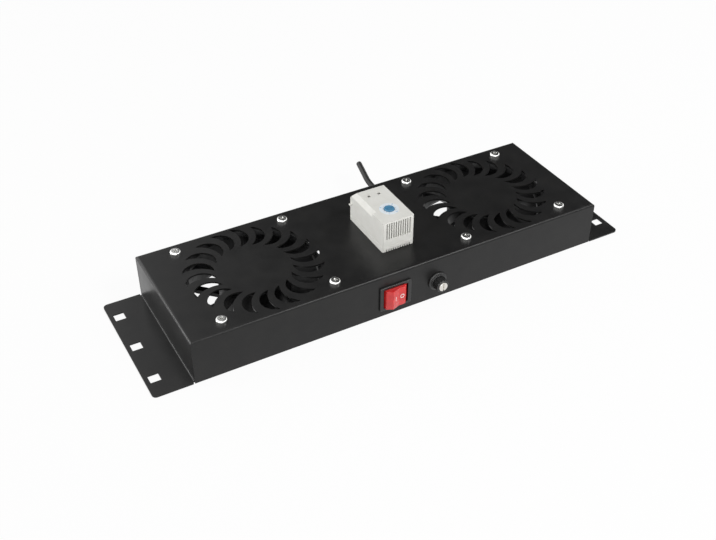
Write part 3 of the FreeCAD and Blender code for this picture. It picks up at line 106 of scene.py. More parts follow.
def add_slab(name, middle, size, rotation=(0, 0, 0)):
    """A block turned about its middle."""
    deselect_all()
    bpy.ops.mesh.primitive_cube_add(size=1, location=middle, rotation=rotation)
    bpy.context.active_object.scale = size
    return settle(name)


def add_block(name, low, high):
    """A level block between two opposite corners."""
    return add_slab(name, (low + high) / 2, high - low)


def add_rod(name, radius, start, axis, length, sides=64):
    """A round bar from a start point along X, Y or Z; a negative length runs the other way."""
    deselect_all()
    bpy.ops.mesh.primitive_cylinder_add(vertices=sides, radius=radius, depth=abs(length),
                                        location=start + ALONG[axis] * length / 2,
                                        rotation=TURNED_TO[axis])
    return settle(name)


def pick(piece, kind, test):
    """Opens the piece in edit mode with only the faces, edges or corners that pass the test."""
    take(piece)
    bpy.ops.object.mode_set(mode="EDIT")
    bpy.ops.mesh.select_mode(type=kind)
    bpy.ops.mesh.select_all(action="DESELECT")
    mesh = bmesh.from_edit_mesh(piece.data)
    for item in {"FACE": mesh.faces, "EDGE": mesh.edges, "VERT": mesh.verts}[kind]:
        if test(item):
            item.select_set(True)
    mesh.select_flush_mode()
    bmesh.update_edit_mesh(piece.data)


def facing(direction, limit=0.95):
    """A test for faces that look one way."""
    return lambda face: face.normal.dot(direction) > limit


def parallel_to(axis, limit=0.999):
    """A test for straight edges along one axis."""
    def test(edge):
        start, end = (corner.co for corner in edge.verts)
        return abs((start - end).normalized().dot(ALONG[axis])) > limit
    return test


def above(z):
    """A test for edges that lie wholly above a level."""
    return lambda edge: all(corner.co.z > z for corner in edge.verts)


def in_front_of(y):
    """A test for edges that lie wholly in front of an upright plane."""
    return lambda edge: all(corner.co.y < y for corner in edge.verts)


def round_edges(piece, test, radius, segments=4):
    """Rounds only the edges that pass the test."""
    pick(piece, "EDGE", test)
    bpy.ops.mesh.bevel(offset=radius, offset_type="OFFSET", segments=segments, profile=0.5,
                       affect="EDGES")
    leave_edit()


def slice_at(piece, *places):
    """Adds edge loops where planes across X meet the piece."""
    for x in places:
        edit_all(piece)
        bpy.ops.mesh.bisect(plane_co=(x, 0, 0), plane_no=(1, 0, 0))
        leave_edit()


def shift_corners(piece, test, move):
    """Moves only the corners that pass the test."""
    pick(piece, "VERT", test)
    bpy.ops.transform.translate(value=move)
    leave_edit()


def apply_modifier(piece, kind, **values):
    take(piece)
    modifier = piece.modifiers.new(kind.title(), kind)
    for name, value in values.items():
        setattr(modifier, name, value)
    bpy.ops.object.modifier_apply(modifier=modifier.name)
    return piece


def combine(piece, operation, others):
    """Works the other pieces into this one, one after another, and throws them away."""
    for other in others:
        apply_modifier(piece, "BOOLEAN", operation=operation, object=other, solver="EXACT")
        bpy.data.objects.remove(other)
    return piece


def cut(piece, *cutters):
    return combine(piece, "DIFFERENCE", cutters)


def weld(piece, *others):
    return combine(piece, "UNION", others)


def gather(name, pieces):
    """Joins separate bodies into one piece without uniting them."""
    deselect_all()
    for piece in pieces:
        piece.select_set(True)
    bpy.context.view_layer.objects.active = pieces[0]
    bpy.ops.object.join()
    pieces[0].name = name
    pieces[0].data.name = name
    return pieces[0]


def turned(angle, about, offset=ORIGIN):
    """A turn about a vertical line, followed by a move."""
    spin = Matrix.Rotation(angle, 4, "Z")
    return Matrix.Translation(about + offset) @ spin @ Matrix.Translation(-about)


def copy_of(piece, offset=ORIGIN, turn=0.0, about=ORIGIN):
    """A copy with its own mesh, turned about a vertical line and then moved."""
    twin = piece.copy()
    twin.data = piece.data.copy()
    bpy.context.scene.collection.objects.link(twin)
    twin.data.transform(turned(turn, about, offset))
    return twin


def turn_piece(piece, pivot, degrees):
    piece.data.transform(turned(math.radians(degrees), pivot))


def clean(piece):
    """Merges doubles and clears the leftover lines that cutting leaves on flat faces."""
    edit_all(piece)
    bpy.ops.mesh.remove_doubles(threshold=0.004 * MM)
    bpy.ops.mesh.dissolve_limited(angle_limit=math.radians(0.6))
    leave_edit()
    return piece


def smooth(piece, degrees=40):
    take(piece)
    bpy.ops.object.shade_smooth_by_angle(angle=math.radians(degrees))


def ease_edges(piece, width, segments=2, sharper_than=32):
    """A small round on every sharp edge, then smooth shading up to an angle."""
    apply_modifier(piece, "BEVEL", width=width, segments=segments, limit_method="ANGLE",
                   angle_limit=math.radians(sharper_than), miter_outer="MITER_ARC",
                   use_clamp_overlap=True)
    smooth(piece)
    return apply_modifier(piece, "WEIGHTED_NORMAL", keep_sharp=True, weight=80)


def fit(piece, body, material, replaced=()):
    """Gives a finished piece its material, its body and the nodes it stands for."""
    piece.data.materials.clear()
    piece.data.materials.append(material)
    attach(piece, body)
    if replaced:
        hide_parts(*replaced)


# ---------------- materials
# Scales of the band textures; the bands are 0.314 m apart over the scale.
STRIPE_SCALE = 60
WINDING_SCALE = 1000 / 3
LAMINATION_SCALE = 2500 / 9
NOISE_LOW, NOISE_HIGH = 0.3, 0.7  # most of a noise pattern lies between these


class Finish:
    """A material whose colour, roughness and relief come from patterns on the object."""

    def __init__(self, name, colour, roughness, metallic=0.0, specular=0.5):
        self.material = bpy.data.materials.new(name)
        self.material.use_nodes = True
        self.nodes = self.material.node_tree.nodes
        self.links = self.material.node_tree.links
        self.shader = self.nodes["Principled BSDF"].inputs
        self.set({"Base Color": (*colour, 1), "Roughness": roughness, "Metallic": metallic,
                  "Specular IOR Level": specular})
        self.place = self.nodes.new("ShaderNodeTexCoord").outputs["Object"]
        self.relief = None

    def set(self, values):
        """Sets plain values of the shader."""
        for name, value in values.items():
            self.shader[name].default_value = value

    def node(self, kind, **values):
        """A new node with plain values in its inputs, whose names have underscores for spaces."""
        node = self.nodes.new("ShaderNode" + kind)
        for name, value in values.items():
            node.inputs[name.replace("_", " ")].default_value = value
        return node

    def noise(self, size, detail=3.0, rough=0.55):
        """Noise whose grains are about size across, from 0 to 1."""
        pattern = self.node("TexNoise", Scale=1 / size, Detail=detail, Roughness=rough)
        self.links.new(self.place, pattern.inputs["Vector"])
        return pattern.outputs["Fac"]

    def bands(self, direction, scale):
        """Straight bands across a direction, from 0 to 1."""
        wave = self.node("TexWave", Scale=scale)
        wave.wave_type = "BANDS"
        wave.bands_direction = direction
        self.links.new(self.place, wave.inputs["Vector"])
        return wave.outputs["Fac"]

    def mottle(self, pattern, first, second, start=NOISE_LOW, end=NOISE_HIGH):
        """Colour that drifts between two tones with a pattern."""
        ramp = self.node("ValToRGB")
        for stop, position, colour in zip(ramp.color_ramp.elements, (start, end), (first, second)):
            stop.position = position
            stop.color = (*colour, 1)
        self.links.new(pattern, ramp.inputs["Fac"])
        self.links.new(ramp.outputs["Color"], self.shader["Base Color"])

    def roughness(self, pattern, low, high):
        """Roughness that drifts from low to high with a noise pattern."""
        span = self.node("MapRange", From_Min=NOISE_LOW, From_Max=NOISE_HIGH, To_Min=low,
                         To_Max=high)
        self.links.new(pattern, span.inputs["Value"])
        self.links.new(span.outputs["Result"], self.shader["Roughness"])

    def bump(self, pattern, strength, depth):
        """Relief of a given depth; several add up."""
        bump = self.node("Bump", Strength=strength, Distance=depth)
        self.links.new(pattern, bump.inputs["Height"])
        if self.relief:
            self.links.new(self.relief, bump.inputs["Normal"])
        self.relief = bump.outputs["Normal"]
        self.links.new(self.relief, self.shader["Normal"])


def powder_coat():
    """Satin black powder coat: fine orange peel with faint darker and duller patches."""
    finish = Finish("powder_coat", (0.009, 0.009, 0.009), 0.35, specular=0.3)
    finish.mottle(finish.noise(14 * MM, 4), (0.0070, 0.0070, 0.0072), (0.0105, 0.0103, 0.010))
    finish.roughness(finish.noise(22 * MM, 5, 0.6), 0.29, 0.38)
    finish.bump(finish.noise(1.1 * MM, 2), 0.45, 0.03 * MM)
    finish.bump(finish.noise(0.35 * MM, 2), 0.15, 0.01 * MM)
    return finish.material


def moulded(name, first, second, roughness, grain=0.5 * MM, depth=0.01 * MM, specular=0.5):
    """Moulded plastic: a hint of drifting tone and a fine matt grain."""
    finish = Finish(name, first, roughness, specular=specular)
    finish.mottle(finish.noise(9 * MM, 3), first, second)
    finish.roughness(finish.noise(6 * MM, 3), roughness * 0.88, min(1, roughness * 1.12))
    finish.bump(finish.noise(grain, 2), 0.3, depth)
    return finish.material


def plated(name, first, second, roughness):
    """Plated metal with cloudy patches and fine marks."""
    finish = Finish(name, first, roughness, metallic=1.0)
    marks = 0.3 * MM
    finish.mottle(finish.noise(2.5 * MM, 4), first, second)
    finish.roughness(finish.noise(marks, 3, 0.6), roughness * 0.75, roughness * 1.35)
    finish.bump(finish.noise(marks, 2, 0.5), 0.12, 0.006 * MM)
    return finish.material


def striped(name, base, stripe, roughness):
    """Insulation in two colours, wound in stripes along the wire."""
    finish = Finish(name, base, roughness)
    finish.mottle(finish.bands("DIAGONAL", STRIPE_SCALE), base, stripe, 0.45, 0.55)
    return finish.material


def red_plastic():
    """Translucent red rocker: light sinks in and the surface stays glossy."""
    finish = Finish("rocker_red", (0.62, 0.012, 0.012), 0.22, specular=0.6)
    finish.mottle(finish.noise(5 * MM, 3), (0.56, 0.010, 0.012), (0.68, 0.018, 0.016))
    finish.set({"Subsurface Weight": 0.25, "Subsurface Radius": (0.004, 0.0008, 0.0006),
                "Subsurface Scale": 1.0, "Coat Weight": 0.25, "Coat Roughness": 0.12})
    finish.bump(finish.noise(2.2 * MM, 2), 0.06, 0.02 * MM)
    return finish.material


def clear_glass():
    finish = Finish("clear_glass", (0.92, 0.95, 0.95), 0.05)
    finish.set({"Transmission Weight": 0.9})
    finish.bump(finish.noise(3 * MM, 2), 0.05, 0.01 * MM)
    return finish.material


def winding_copper():
    """Enamelled wire laid side by side."""
    finish = Finish("winding_copper", (0.6, 0.2, 0.07), 0.3, metallic=1.0)
    finish.mottle(finish.noise(3 * MM, 3), (0.5, 0.15, 0.05), (0.66, 0.24, 0.09))
    finish.bump(finish.bands("Z", WINDING_SCALE), 0.6, 0.08 * MM)
    return finish.material


def laminated_steel():
    """Stacked sheets of core steel, seen as fine level lines."""
    finish = Finish("laminated_steel", (0.36, 0.36, 0.37), 0.42, metallic=1.0)
    sheets = finish.bands("Z", LAMINATION_SCALE)
    finish.mottle(sheets, (0.2, 0.2, 0.21), (0.42, 0.42, 0.43), 0.2, 0.8)
    finish.bump(sheets, 0.4, 0.05 * MM)
    return finish.material


def grey(level):
    return (level,) * 3


SOOT = ((0.005, 0.005, 0.0052), (0.008, 0.008, 0.0082))

POWDER_COAT = powder_coat()
FAN_PLASTIC = moulded("fan_plastic", *SOOT, 0.5, 0.7 * MM, specular=0.22)
BLADE_PLASTIC = moulded("blade_plastic", *SOOT, 0.42, 0.9 * MM, specular=0.22)
CASE_PLASTIC = moulded("case_plastic", (0.74, 0.735, 0.69), (0.79, 0.785, 0.745), 0.42)
BLOCK_PLASTIC = moulded("block_plastic", (0.5, 0.5, 0.47), (0.6, 0.6, 0.56), 0.5)
NATURAL_NYLON = moulded("natural_nylon", (0.62, 0.6, 0.52), (0.7, 0.68, 0.6), 0.45)
DIAL_BLUE = moulded("dial_blue", (0.065, 0.215, 0.37), (0.08, 0.26, 0.43), 0.3)
SWITCH_BLACK = moulded("switch_black", grey(0.010), grey(0.016), 0.3)
HOLDER_BLACK = moulded("holder_black", grey(0.012), grey(0.02), 0.36)
RUBBER_BLACK = moulded("rubber_black", grey(0.014), grey(0.024), 0.6, 0.6 * MM, 0.02 * MM)
SHEATH_BLACK = moulded("sheath_black", grey(0.007), grey(0.011), 0.42, 0.9 * MM, 0.02 * MM, 0.25)
WIRE_BROWN = moulded("wire_brown", (0.13, 0.05, 0.02), (0.18, 0.075, 0.03), 0.4)
WIRE_BLUE = moulded("wire_blue", (0.015, 0.075, 0.36), (0.025, 0.11, 0.46), 0.4)
WIRE_EARTH = striped("wire_earth", (0.06, 0.3, 0.04), (0.75, 0.62, 0.03), 0.4)
ZINC = plated("zinc_plate", (0.6, 0.6, 0.585), (0.7, 0.7, 0.685), 0.22)
NICKEL = plated("nickel_plate", (0.7, 0.68, 0.64), (0.8, 0.78, 0.74), 0.25)
BRASS = plated("brass_contact", (0.72, 0.52, 0.24), (0.8, 0.6, 0.3), 0.3)
BEARING_STEEL = plated("bearing_steel", (0.62, 0.62, 0.63), (0.72, 0.72, 0.73), 0.16)
CORE_STEEL = laminated_steel()
COPPER = winding_copper()
ROCKER_RED = red_plastic()
GLASS = clear_glass()
MARK_WHITE = moulded("mark_white", (0.78, 0.76, 0.74), (0.84, 0.82, 0.8), 0.45)
PRINT_PALE = moulded("print_pale", (0.78, 0.84, 0.88), (0.82, 0.87, 0.9), 0.42)
PRINT_BLUE = moulded("print_blue", (0.08, 0.27, 0.55), (0.11, 0.32, 0.6), 0.42)


# ---------------- tray
tray_low, tray_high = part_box("tray_shell")
FRONT = tray_low.y
REAR = tray_high.y
TOP = tray_high.z
SHEET = 1.5 * MM
TOP_UNDER = TOP - SHEET
FAN_MIDDLES = [point(middle_of(side + "_fan_frame").x, 0, 0) for side in ("left", "right")]
BODY_HALF_LENGTH = 205.0 * MM
BEND_OUTER = 2.5 * MM
BEND_INNER = 1.0 * MM
BEND_STEPS = 6
SEAM_GAP = 0.4 * MM  # open seams between the end walls and the long walls
WALL_LIFT = 0.3 * MM  # the long walls end this far above the flanges' undersides
FLANGE_CORNER = 4.0 * MM
RELIEF_WIDTH = 1.2 * MM
RACK_HOLE_SIDE = 9.5 * MM
RACK_HOLE_PITCH = 44.45 * MM
RACK_HOLE_X = 465.1 / 2 * MM
SLOTS_PER_FAN = 20
SLOT_INNER_TIP = (34.0 * MM, 14.7)  # radius, and angle in degrees
SLOT_OUTER_TIP = (62.0 * MM, 15.2)
SLOT_OUTER_BULGE = 12.8 * MM
SLOT_INNER_BULGE = 4.6 * MM
FAN_HOLE_REACH = 52.5 * MM
FAN_HOLE_RADIUS = 2.25 * MM
FAN_CORNERS = ((-1, -1), (-1, 1), (1, -1), (1, 1))
RAIL_SLOT_HALF_LENGTH = 13 * MM
RAIL_SLOT_EDGES = (17.5 * MM, 22.5 * MM)  # from the thermostat's middle
GROMMET_HOLE_RADIUS = 4.5 * MM
SWITCH_HOLE_HALF = (14.3 * MM, 11.2 * MM)
FUSE_HOLE_RADIUS = 6.05 * MM
REAR_HOLES = {"cord_gland": 6.05 * MM, "earth_screw": 2.05 * MM}
BLOCK_HOLE_RADIUS = 1.5 * MM
BLOCK_HOLE_INSET = 2.8 * MM


def tray_box():
    """The five-sided box: top bends rounded, then given its thickness inwards."""
    shell = add_block("tray_body", point(-BODY_HALF_LENGTH, FRONT, 0),
                      point(BODY_HALF_LENGTH, REAR, TOP))
    round_edges(shell, above(TOP - OVERRUN), BEND_OUTER, BEND_STEPS)
    pick(shell, "FACE", facing(-ALONG["Z"]))
    bpy.ops.mesh.delete(type="FACE")
    leave_edit()
    return apply_modifier(shell, "SOLIDIFY", thickness=SHEET, offset=-1, use_even_offset=True)


def trim_walls(shell):
    """Opens the corner seams, lifts the long walls and clears the place of the flanges' bends."""
    front_inside = FRONT + SHEET
    rear_inside = REAR - SHEET
    seam_top = TOP - BEND_OUTER
    reach = BODY_HALF_LENGTH + OVERRUN
    spans = []
    for side in (-1, 1):
        near, far = sorted((side * reach, side * (BODY_HALF_LENGTH - SHEET)))
        spans += [(near, far, front_inside, rear_inside, BEND_OUTER),
                  (near, far, front_inside, front_inside + SEAM_GAP, seam_top),
                  (near, far, rear_inside - SEAM_GAP, rear_inside, seam_top)]
    spans += [(-reach, reach, FRONT - OVERRUN, front_inside, WALL_LIFT),
              (-reach, reach, rear_inside, REAR + OVERRUN, WALL_LIFT)]
    cut(shell, *[add_block("trim", point(left, front, -OVERRUN), point(right, rear, top))
                 for left, right, front, rear, top in spans])


def bend_flange(shell, side):
    """Spins the end wall's lower edge outwards, then adds the plate with its rounded corners."""
    wall = side * BODY_HALF_LENGTH
    tip = side * tray_high.x
    bend_centre = point(wall + side * BEND_INNER, 0, BEND_OUTER)

    def is_lower_edge(face):
        middle = face.calc_center_median()
        return (facing(-ALONG["Z"], 0.99)(face) and abs(middle.x - wall) < SHEET
                and abs(middle.z - BEND_OUTER) < NEAR)

    def is_tip_corner(edge):
        return parallel_to("Z")(edge) and abs(edge.verts[0].co.x - tip) < OVERRUN

    pick(shell, "FACE", is_lower_edge)
    bpy.ops.mesh.spin(steps=BEND_STEPS, angle=side * math.pi / 2, center=bend_centre,
                      axis=(0, 1, 0))
    bpy.ops.mesh.extrude_region_move(TRANSFORM_OT_translate={"value": (side * RELIEF_WIDTH, 0, 0)})
    leave_edit()
    start = bend_centre.x + side * (RELIEF_WIDTH - BEND_INNER)
    near, far = sorted((start, tip))
    plate = add_block("plate", point(near, FRONT, 0), point(far, REAR, SHEET))
    round_edges(plate, is_tip_corner, FLANGE_CORNER, segments=8)
    weld(shell, plate)


def crescent_cutter(middle):
    """One swirl slot's shape: a round bar less a larger one."""
    def tip(radius, angle):
        turn = math.radians(angle)
        return middle + point(math.cos(turn), math.sin(turn), 0) * radius

    inner = tip(*SLOT_INNER_TIP)
    outer = tip(*SLOT_OUTER_TIP)
    chord = outer - inner
    side = point(chord.y, -chord.x, 0).normalized()
    half = chord.length / 2

    def bar(name, bulge, overrun, sides):
        radius = (half ** 2 + bulge ** 2) / (2 * bulge)
        start = (inner + outer) / 2 + side * (bulge - radius)
        low, high = TOP_UNDER - overrun, TOP + overrun
        return add_rod(name, radius, point(start.x, start.y, low), "Z", high - low, sides)

    slot = bar("slot", SLOT_OUTER_BULGE, OVERRUN, sides=120)
    return cut(slot, bar("slot_inside", SLOT_INNER_BULGE, 2 * OVERRUN, sides=200))


def slot_cutters():
    cutters = []
    for middle in FAN_MIDDLES:
        first = crescent_cutter(middle)
        for i in range(SLOTS_PER_FAN):
            cutters.append(copy_of(first, turn=math.tau * i / SLOTS_PER_FAN, about=middle))
        bpy.data.objects.remove(first)
    return gather("slots", cutters)


def hole_cutters():
    """Square rack holes, fan screw holes, rail slots, and the openings in the long walls."""
    below_top = TOP_UNDER - OVERRUN
    before_front = FRONT - OVERRUN
    inside_rear = REAR - SHEET - OVERRUN
    cutters = []

    def block(low, high):
        cutters.append(add_block("hole", low, high))

    def rod(radius, start, axis, sides):
        cutters.append(add_rod("hole", radius, start, axis, SHEET + 2 * OVERRUN, sides))

    half = RACK_HOLE_SIDE / 2
    for x in (-RACK_HOLE_X, RACK_HOLE_X):
        for step in (-1, 0, 1):
            y = step * RACK_HOLE_PITCH
            block(point(x - half, y - half, -OVERRUN), point(x + half, y + half, SHEET + OVERRUN))
    for middle in FAN_MIDDLES:
        for i, j in FAN_CORNERS:
            corner = point(i * FAN_HOLE_REACH, j * FAN_HOLE_REACH, below_top)
            rod(FAN_HOLE_RADIUS, middle + corner, "Z", 32)
    base = middle_of("thermostat_base")
    for side in (-1, 1):
        near, far = sorted(side * edge for edge in RAIL_SLOT_EDGES)
        block(point(base.x - RAIL_SLOT_HALF_LENGTH, base.y + near, below_top),
              point(base.x + RAIL_SLOT_HALF_LENGTH, base.y + far, TOP + OVERRUN))
    grommet = middle_of("thermostat_grommet")
    rod(GROMMET_HOLE_RADIUS, point(grommet.x, grommet.y, below_top), "Z", 48)
    switch = middle_of("switch_frame")
    half_x, half_z = SWITCH_HOLE_HALF
    block(point(switch.x - half_x, before_front, switch.z - half_z),
          point(switch.x + half_x, FRONT + SHEET + OVERRUN, switch.z + half_z))
    fuse = middle_of("fuse_holder_body")
    rod(FUSE_HOLE_RADIUS, point(fuse.x, before_front, fuse.z), "Y", 64)
    for node, radius in REAR_HOLES.items():
        place = middle_of(node)
        rod(radius, point(place.x, inside_rear, place.z), "Y", 48)
    low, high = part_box("block_screws")
    for x in (low.x + BLOCK_HOLE_INSET, high.x - BLOCK_HOLE_INSET):
        rod(BLOCK_HOLE_RADIUS, point(x, inside_rear, (low.z + high.z) / 2), "Y", 32)
    return gather("holes", cutters)


def tray_body():
    shell = tray_box()
    trim_walls(shell)
    for side in (-1, 1):
        bend_flange(shell, side)
    clean(shell)
    cut(shell, hole_cutters())
    cut(shell, slot_cutters())
    ease_edges(clean(shell), 0.4 * MM, segments=3)
    fit(shell, "tray", POWDER_COAT, ["tray_shell"])


tray_body()


# ---------------- screws
HEAD_RADIUS = 4.9 * MM
HEAD_HEIGHT = 3.0 * MM
SHANK_RADIUS = 2.0 * MM
SHANK_LENGTH = 12 * MM
SHANK_SINK = 0.2 * MM  # how far the shank reaches into the head
DOME_SHARE = 0.52  # of the head's height
CROSS_LENGTH_SHARE = 0.52  # of the head's radius
CROSS_WIDTH_SHARE = 0.12
CROSS_DEPTH_SHARE = 0.55  # of the head's height
CROSS_TAPER = 0.55


def pan_head_screw(name):
    """A domed screw on the Z axis, its head's seat at the origin, with a cross recess."""
    head = add_rod(name, HEAD_RADIUS, ORIGIN, "Z", HEAD_HEIGHT, sides=48)
    round_edges(head, above(HEAD_HEIGHT * 0.9), HEAD_HEIGHT * DOME_SHARE, segments=6)
    weld(head, add_rod("shank", SHANK_RADIUS, point(0, 0, SHANK_SINK), "Z",
                       -SHANK_LENGTH - SHANK_SINK, sides=32))
    half, thin = HEAD_RADIUS * CROSS_LENGTH_SHARE, HEAD_RADIUS * CROSS_WIDTH_SHARE
    floor = HEAD_HEIGHT - HEAD_HEIGHT * CROSS_DEPTH_SHARE
    arms = []
    for x, y in ((half, thin), (thin, half)):
        arm = add_block("arm", point(-x, -y, floor), point(x, y, HEAD_HEIGHT + OVERRUN))
        pick(arm, "FACE", facing(-ALONG["Z"]))
        bpy.ops.transform.resize(value=(CROSS_TAPER, CROSS_TAPER, 1),
                                 center_override=(0, 0, floor))
        leave_edit()
        arms.append(arm)
    return ease_edges(clean(cut(head, *arms)), 0.12 * MM)


def fan_screws():
    """Four screws on each fan, their crosses turned each to its own angle."""
    first = pan_head_screw("fan_screw_set")
    screws = []
    for number, middle in enumerate(FAN_MIDDLES):
        for i, j in FAN_CORNERS:
            corner = point(i * FAN_HOLE_REACH, j * FAN_HOLE_REACH, TOP)
            turn = math.radians((17 * i + 31 * j + 40 * number) % 90)
            screws.append(copy_of(first, middle + corner, turn))
    bpy.data.objects.remove(first)
    fit(gather("fan_screw_set", screws), "tray", ZINC, ["fan_screws"])


fan_screws()


# ---------------- thermostat
case_low, case_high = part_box("thermostat_cover")
CASE_X = middle_of("thermostat_base").x
CASE_LEFT = CASE_X - 16 * MM
CASE_RIGHT = CASE_X + 16 * MM
CASE_FRONT = case_low.y
CASE_REAR = case_high.y
CASE_TOP = case_high.z
CASE_WALL = 1.6 * MM
CASE_CORNER = 1.5 * MM
CHAMFER = 4 * MM
CHAMFER_STOP = 19 * MM  # the chamfer ends this far behind the front
CHAMFER_CUTTER = 14 * MM
SLOPE_LENGTH = 6.5 * MM
SLOPE_DROP = 8 * MM
SLOPE_CUTTER = mm(40, 30, 10)
CUTTER_THICKNESS = 10 * MM
GRILLE_SLOTS = 11
GRILLE_PITCH = 2.35 * MM
GRILLE_HALF = 0.55 * MM
GRILLE_FOOT = 12.5 * MM  # above the tray's top
GRILLE_HEAD = 1.4 * MM  # below the case's top
VENT_HEAD = 2.4 * MM  # above the tray's top
PEEPHOLE_X = 5.15 * MM
PEEPHOLE_BACK = 16.2 * MM  # from the case's rear
PEEPHOLE_RADIUS = 1.7 * MM
LID_REACH = 4 * MM  # cutters run this far above and below the case's top
PART_LINE = (5.2 * MM, 5.6 * MM)  # above the tray's top
PART_LINE_DEPTH = 0.25 * MM
TAB_BACK = (4.8 * MM, 2.4 * MM)  # from the case's rear
TAB_LEVEL = (18 * MM, 19.2 * MM)  # above the tray's top
TAB_ROOT = 0.8 * MM
DIAL_MIDDLE = middle_of("thermostat_dial")
DIAL_RADIUS = 4.7 * MM
DIAL_RISE = 0.9 * MM
DIAL_GAP = 0.4 * MM
DIAL_LIP = 1.2 * MM
DIAL_SLOT = mm(3.3, 0.6, 0)  # half its length and width
SPINDLE_RADIUS = 2 * MM
SPINDLE_SINK = 1 * MM  # the spindle ends this far below the lip's upper face
BAND_RADIUS = 9.0 * MM
BAND_GAP = 0.55 * MM
PRINT_SINK = 0.02 * MM
PRINT_THICKNESS = 0.06 * MM
SCALE_START = 240  # degrees, counted against the clock from +X
SCALE_STEP = 25
TICKS = 13
TICK_START = 5.6  # this and the next are radii in millimetres
TICK_END = 6.4
LONG_TICK_END = 6.9
SCALE_NUMBERS = {0: "0", 4: "20", 8: "40", 12: "60"}  # long ticks and their numbers
NUMBER_RADIUS = 8.0


def case_form(name, inset):
    """The cover's solid form with its bevel and rear slope, drawn in by an inset."""
    low = point(CASE_LEFT + inset, CASE_FRONT + inset, TOP - (OVERRUN if inset else 0))
    form = add_block(name, low, point(CASE_RIGHT - inset, CASE_REAR - inset, CASE_TOP - inset))
    round_edges(form, parallel_to("Z"), CASE_CORNER - inset * 0.8)
    outwards = CUTTER_THICKNESS / 2 - inset
    start = CASE_FRONT + CHAMFER_STOP - inset
    middle = point(CASE_LEFT + CHAMFER / 2, (CASE_REAR + OVERRUN + start) / 2,
                   CASE_TOP - CHAMFER / 2)
    bevel = add_slab("bevel", middle + point(-1, 0, 1).normalized() * outwards,
                     point(CHAMFER_CUTTER, CASE_REAR + OVERRUN - start, CUTTER_THICKNESS),
                     (0, -math.pi / 4, 0))
    fall = math.atan2(SLOPE_DROP, SLOPE_LENGTH)
    middle = point(CASE_X, CASE_REAR - SLOPE_LENGTH / 2, CASE_TOP - SLOPE_DROP / 2)
    slope = add_slab("slope", middle + point(0, math.sin(fall), math.cos(fall)) * outwards,
                     SLOPE_CUTTER, (-fall, 0, 0))
    return clean(cut(form, bevel, slope))


def over_dial(z):
    """A point on the dial's axis."""
    return point(DIAL_MIDDLE.x, DIAL_MIDDLE.y, z)


def grille_cutters():
    """Slots down the front, short vents at its foot, two screwdriver holes and the dial's hole."""
    cutters = []
    first = CASE_X - (GRILLE_SLOTS - 1) * GRILLE_PITCH / 2
    wall_inside = CASE_FRONT + CASE_WALL
    for i in range(GRILLE_SLOTS):
        x = first + i * GRILLE_PITCH
        for low, high in ((TOP + GRILLE_FOOT, CASE_TOP - GRILLE_HEAD),
                          (TOP - OVERRUN, TOP + VENT_HEAD)):
            cutters.append(add_block("slit", point(x - GRILLE_HALF, CASE_FRONT - OVERRUN, low),
                                     point(x + GRILLE_HALF, wall_inside + OVERRUN, high)))
    for side in (-1, 1):
        start = point(CASE_X + side * PEEPHOLE_X, CASE_REAR - PEEPHOLE_BACK, CASE_TOP - LID_REACH)
        cutters.append(add_rod("slit", PEEPHOLE_RADIUS, start, "Z", 2 * LID_REACH, sides=32))
    cutters.append(add_rod("slit", DIAL_RADIUS + DIAL_GAP, over_dial(CASE_TOP - LID_REACH), "Z",
                           2 * LID_REACH))
    return gather("slits", cutters)


def part_line():
    """The shallow groove where the cover meets its base, round all four walls."""
    low, high = (TOP + level for level in PART_LINE)
    deep = PART_LINE_DEPTH
    outer = add_block("groove", point(CASE_LEFT - OVERRUN, CASE_FRONT - OVERRUN, low),
                      point(CASE_RIGHT + OVERRUN, CASE_REAR + OVERRUN, high))
    inner = add_block("groove_inside", point(CASE_LEFT + deep, CASE_FRONT + deep, low - OVERRUN),
                      point(CASE_RIGHT - deep, CASE_REAR - deep, high + OVERRUN))
    return cut(outer, inner)


def thermostat_case():
    shell = case_form("thermostat_case", 0)
    cut(shell, case_form("case_hollow", CASE_WALL), part_line(), grille_cutters())
    (back, front), (foot, head) = TAB_BACK, TAB_LEVEL
    weld(shell, add_block("tab", point(case_low.x, CASE_REAR - back, TOP + foot),
                          point(CASE_LEFT + TAB_ROOT, CASE_REAR - front, TOP + head)))
    ease_edges(clean(shell), 0.3 * MM, segments=3, sharper_than=25)
    fit(shell, "tray", CASE_PLASTIC, ["thermostat_cover"])


def thermostat_knob():
    """The blue knob with its screwdriver slot, hidden flange and spindle."""
    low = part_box("thermostat_dial")[0].z
    lip = CASE_TOP - CASE_WALL - DIAL_GAP
    top = CASE_TOP + DIAL_RISE
    seat = over_dial(lip - DIAL_LIP)
    knob = add_rod("thermostat_knob", DIAL_RADIUS, seat, "Z", top - lip + DIAL_LIP, sides=96)
    round_edges(knob, above(top - NEAR), 0.5 * MM)
    weld(knob, add_rod("lip", DIAL_RADIUS + DIAL_LIP, seat, "Z", DIAL_LIP),
         add_rod("spindle", SPINDLE_RADIUS, over_dial(low), "Z", lip - SPINDLE_SINK - low,
                 sides=32))
    cut(knob, add_block("slot", over_dial(CASE_TOP + 0.3 * MM) - DIAL_SLOT,
                        over_dial(top + OVERRUN) + DIAL_SLOT))
    ease_edges(clean(knob), 0.1 * MM)
    fit(knob, "dial", DIAL_BLUE, ["thermostat_dial"])


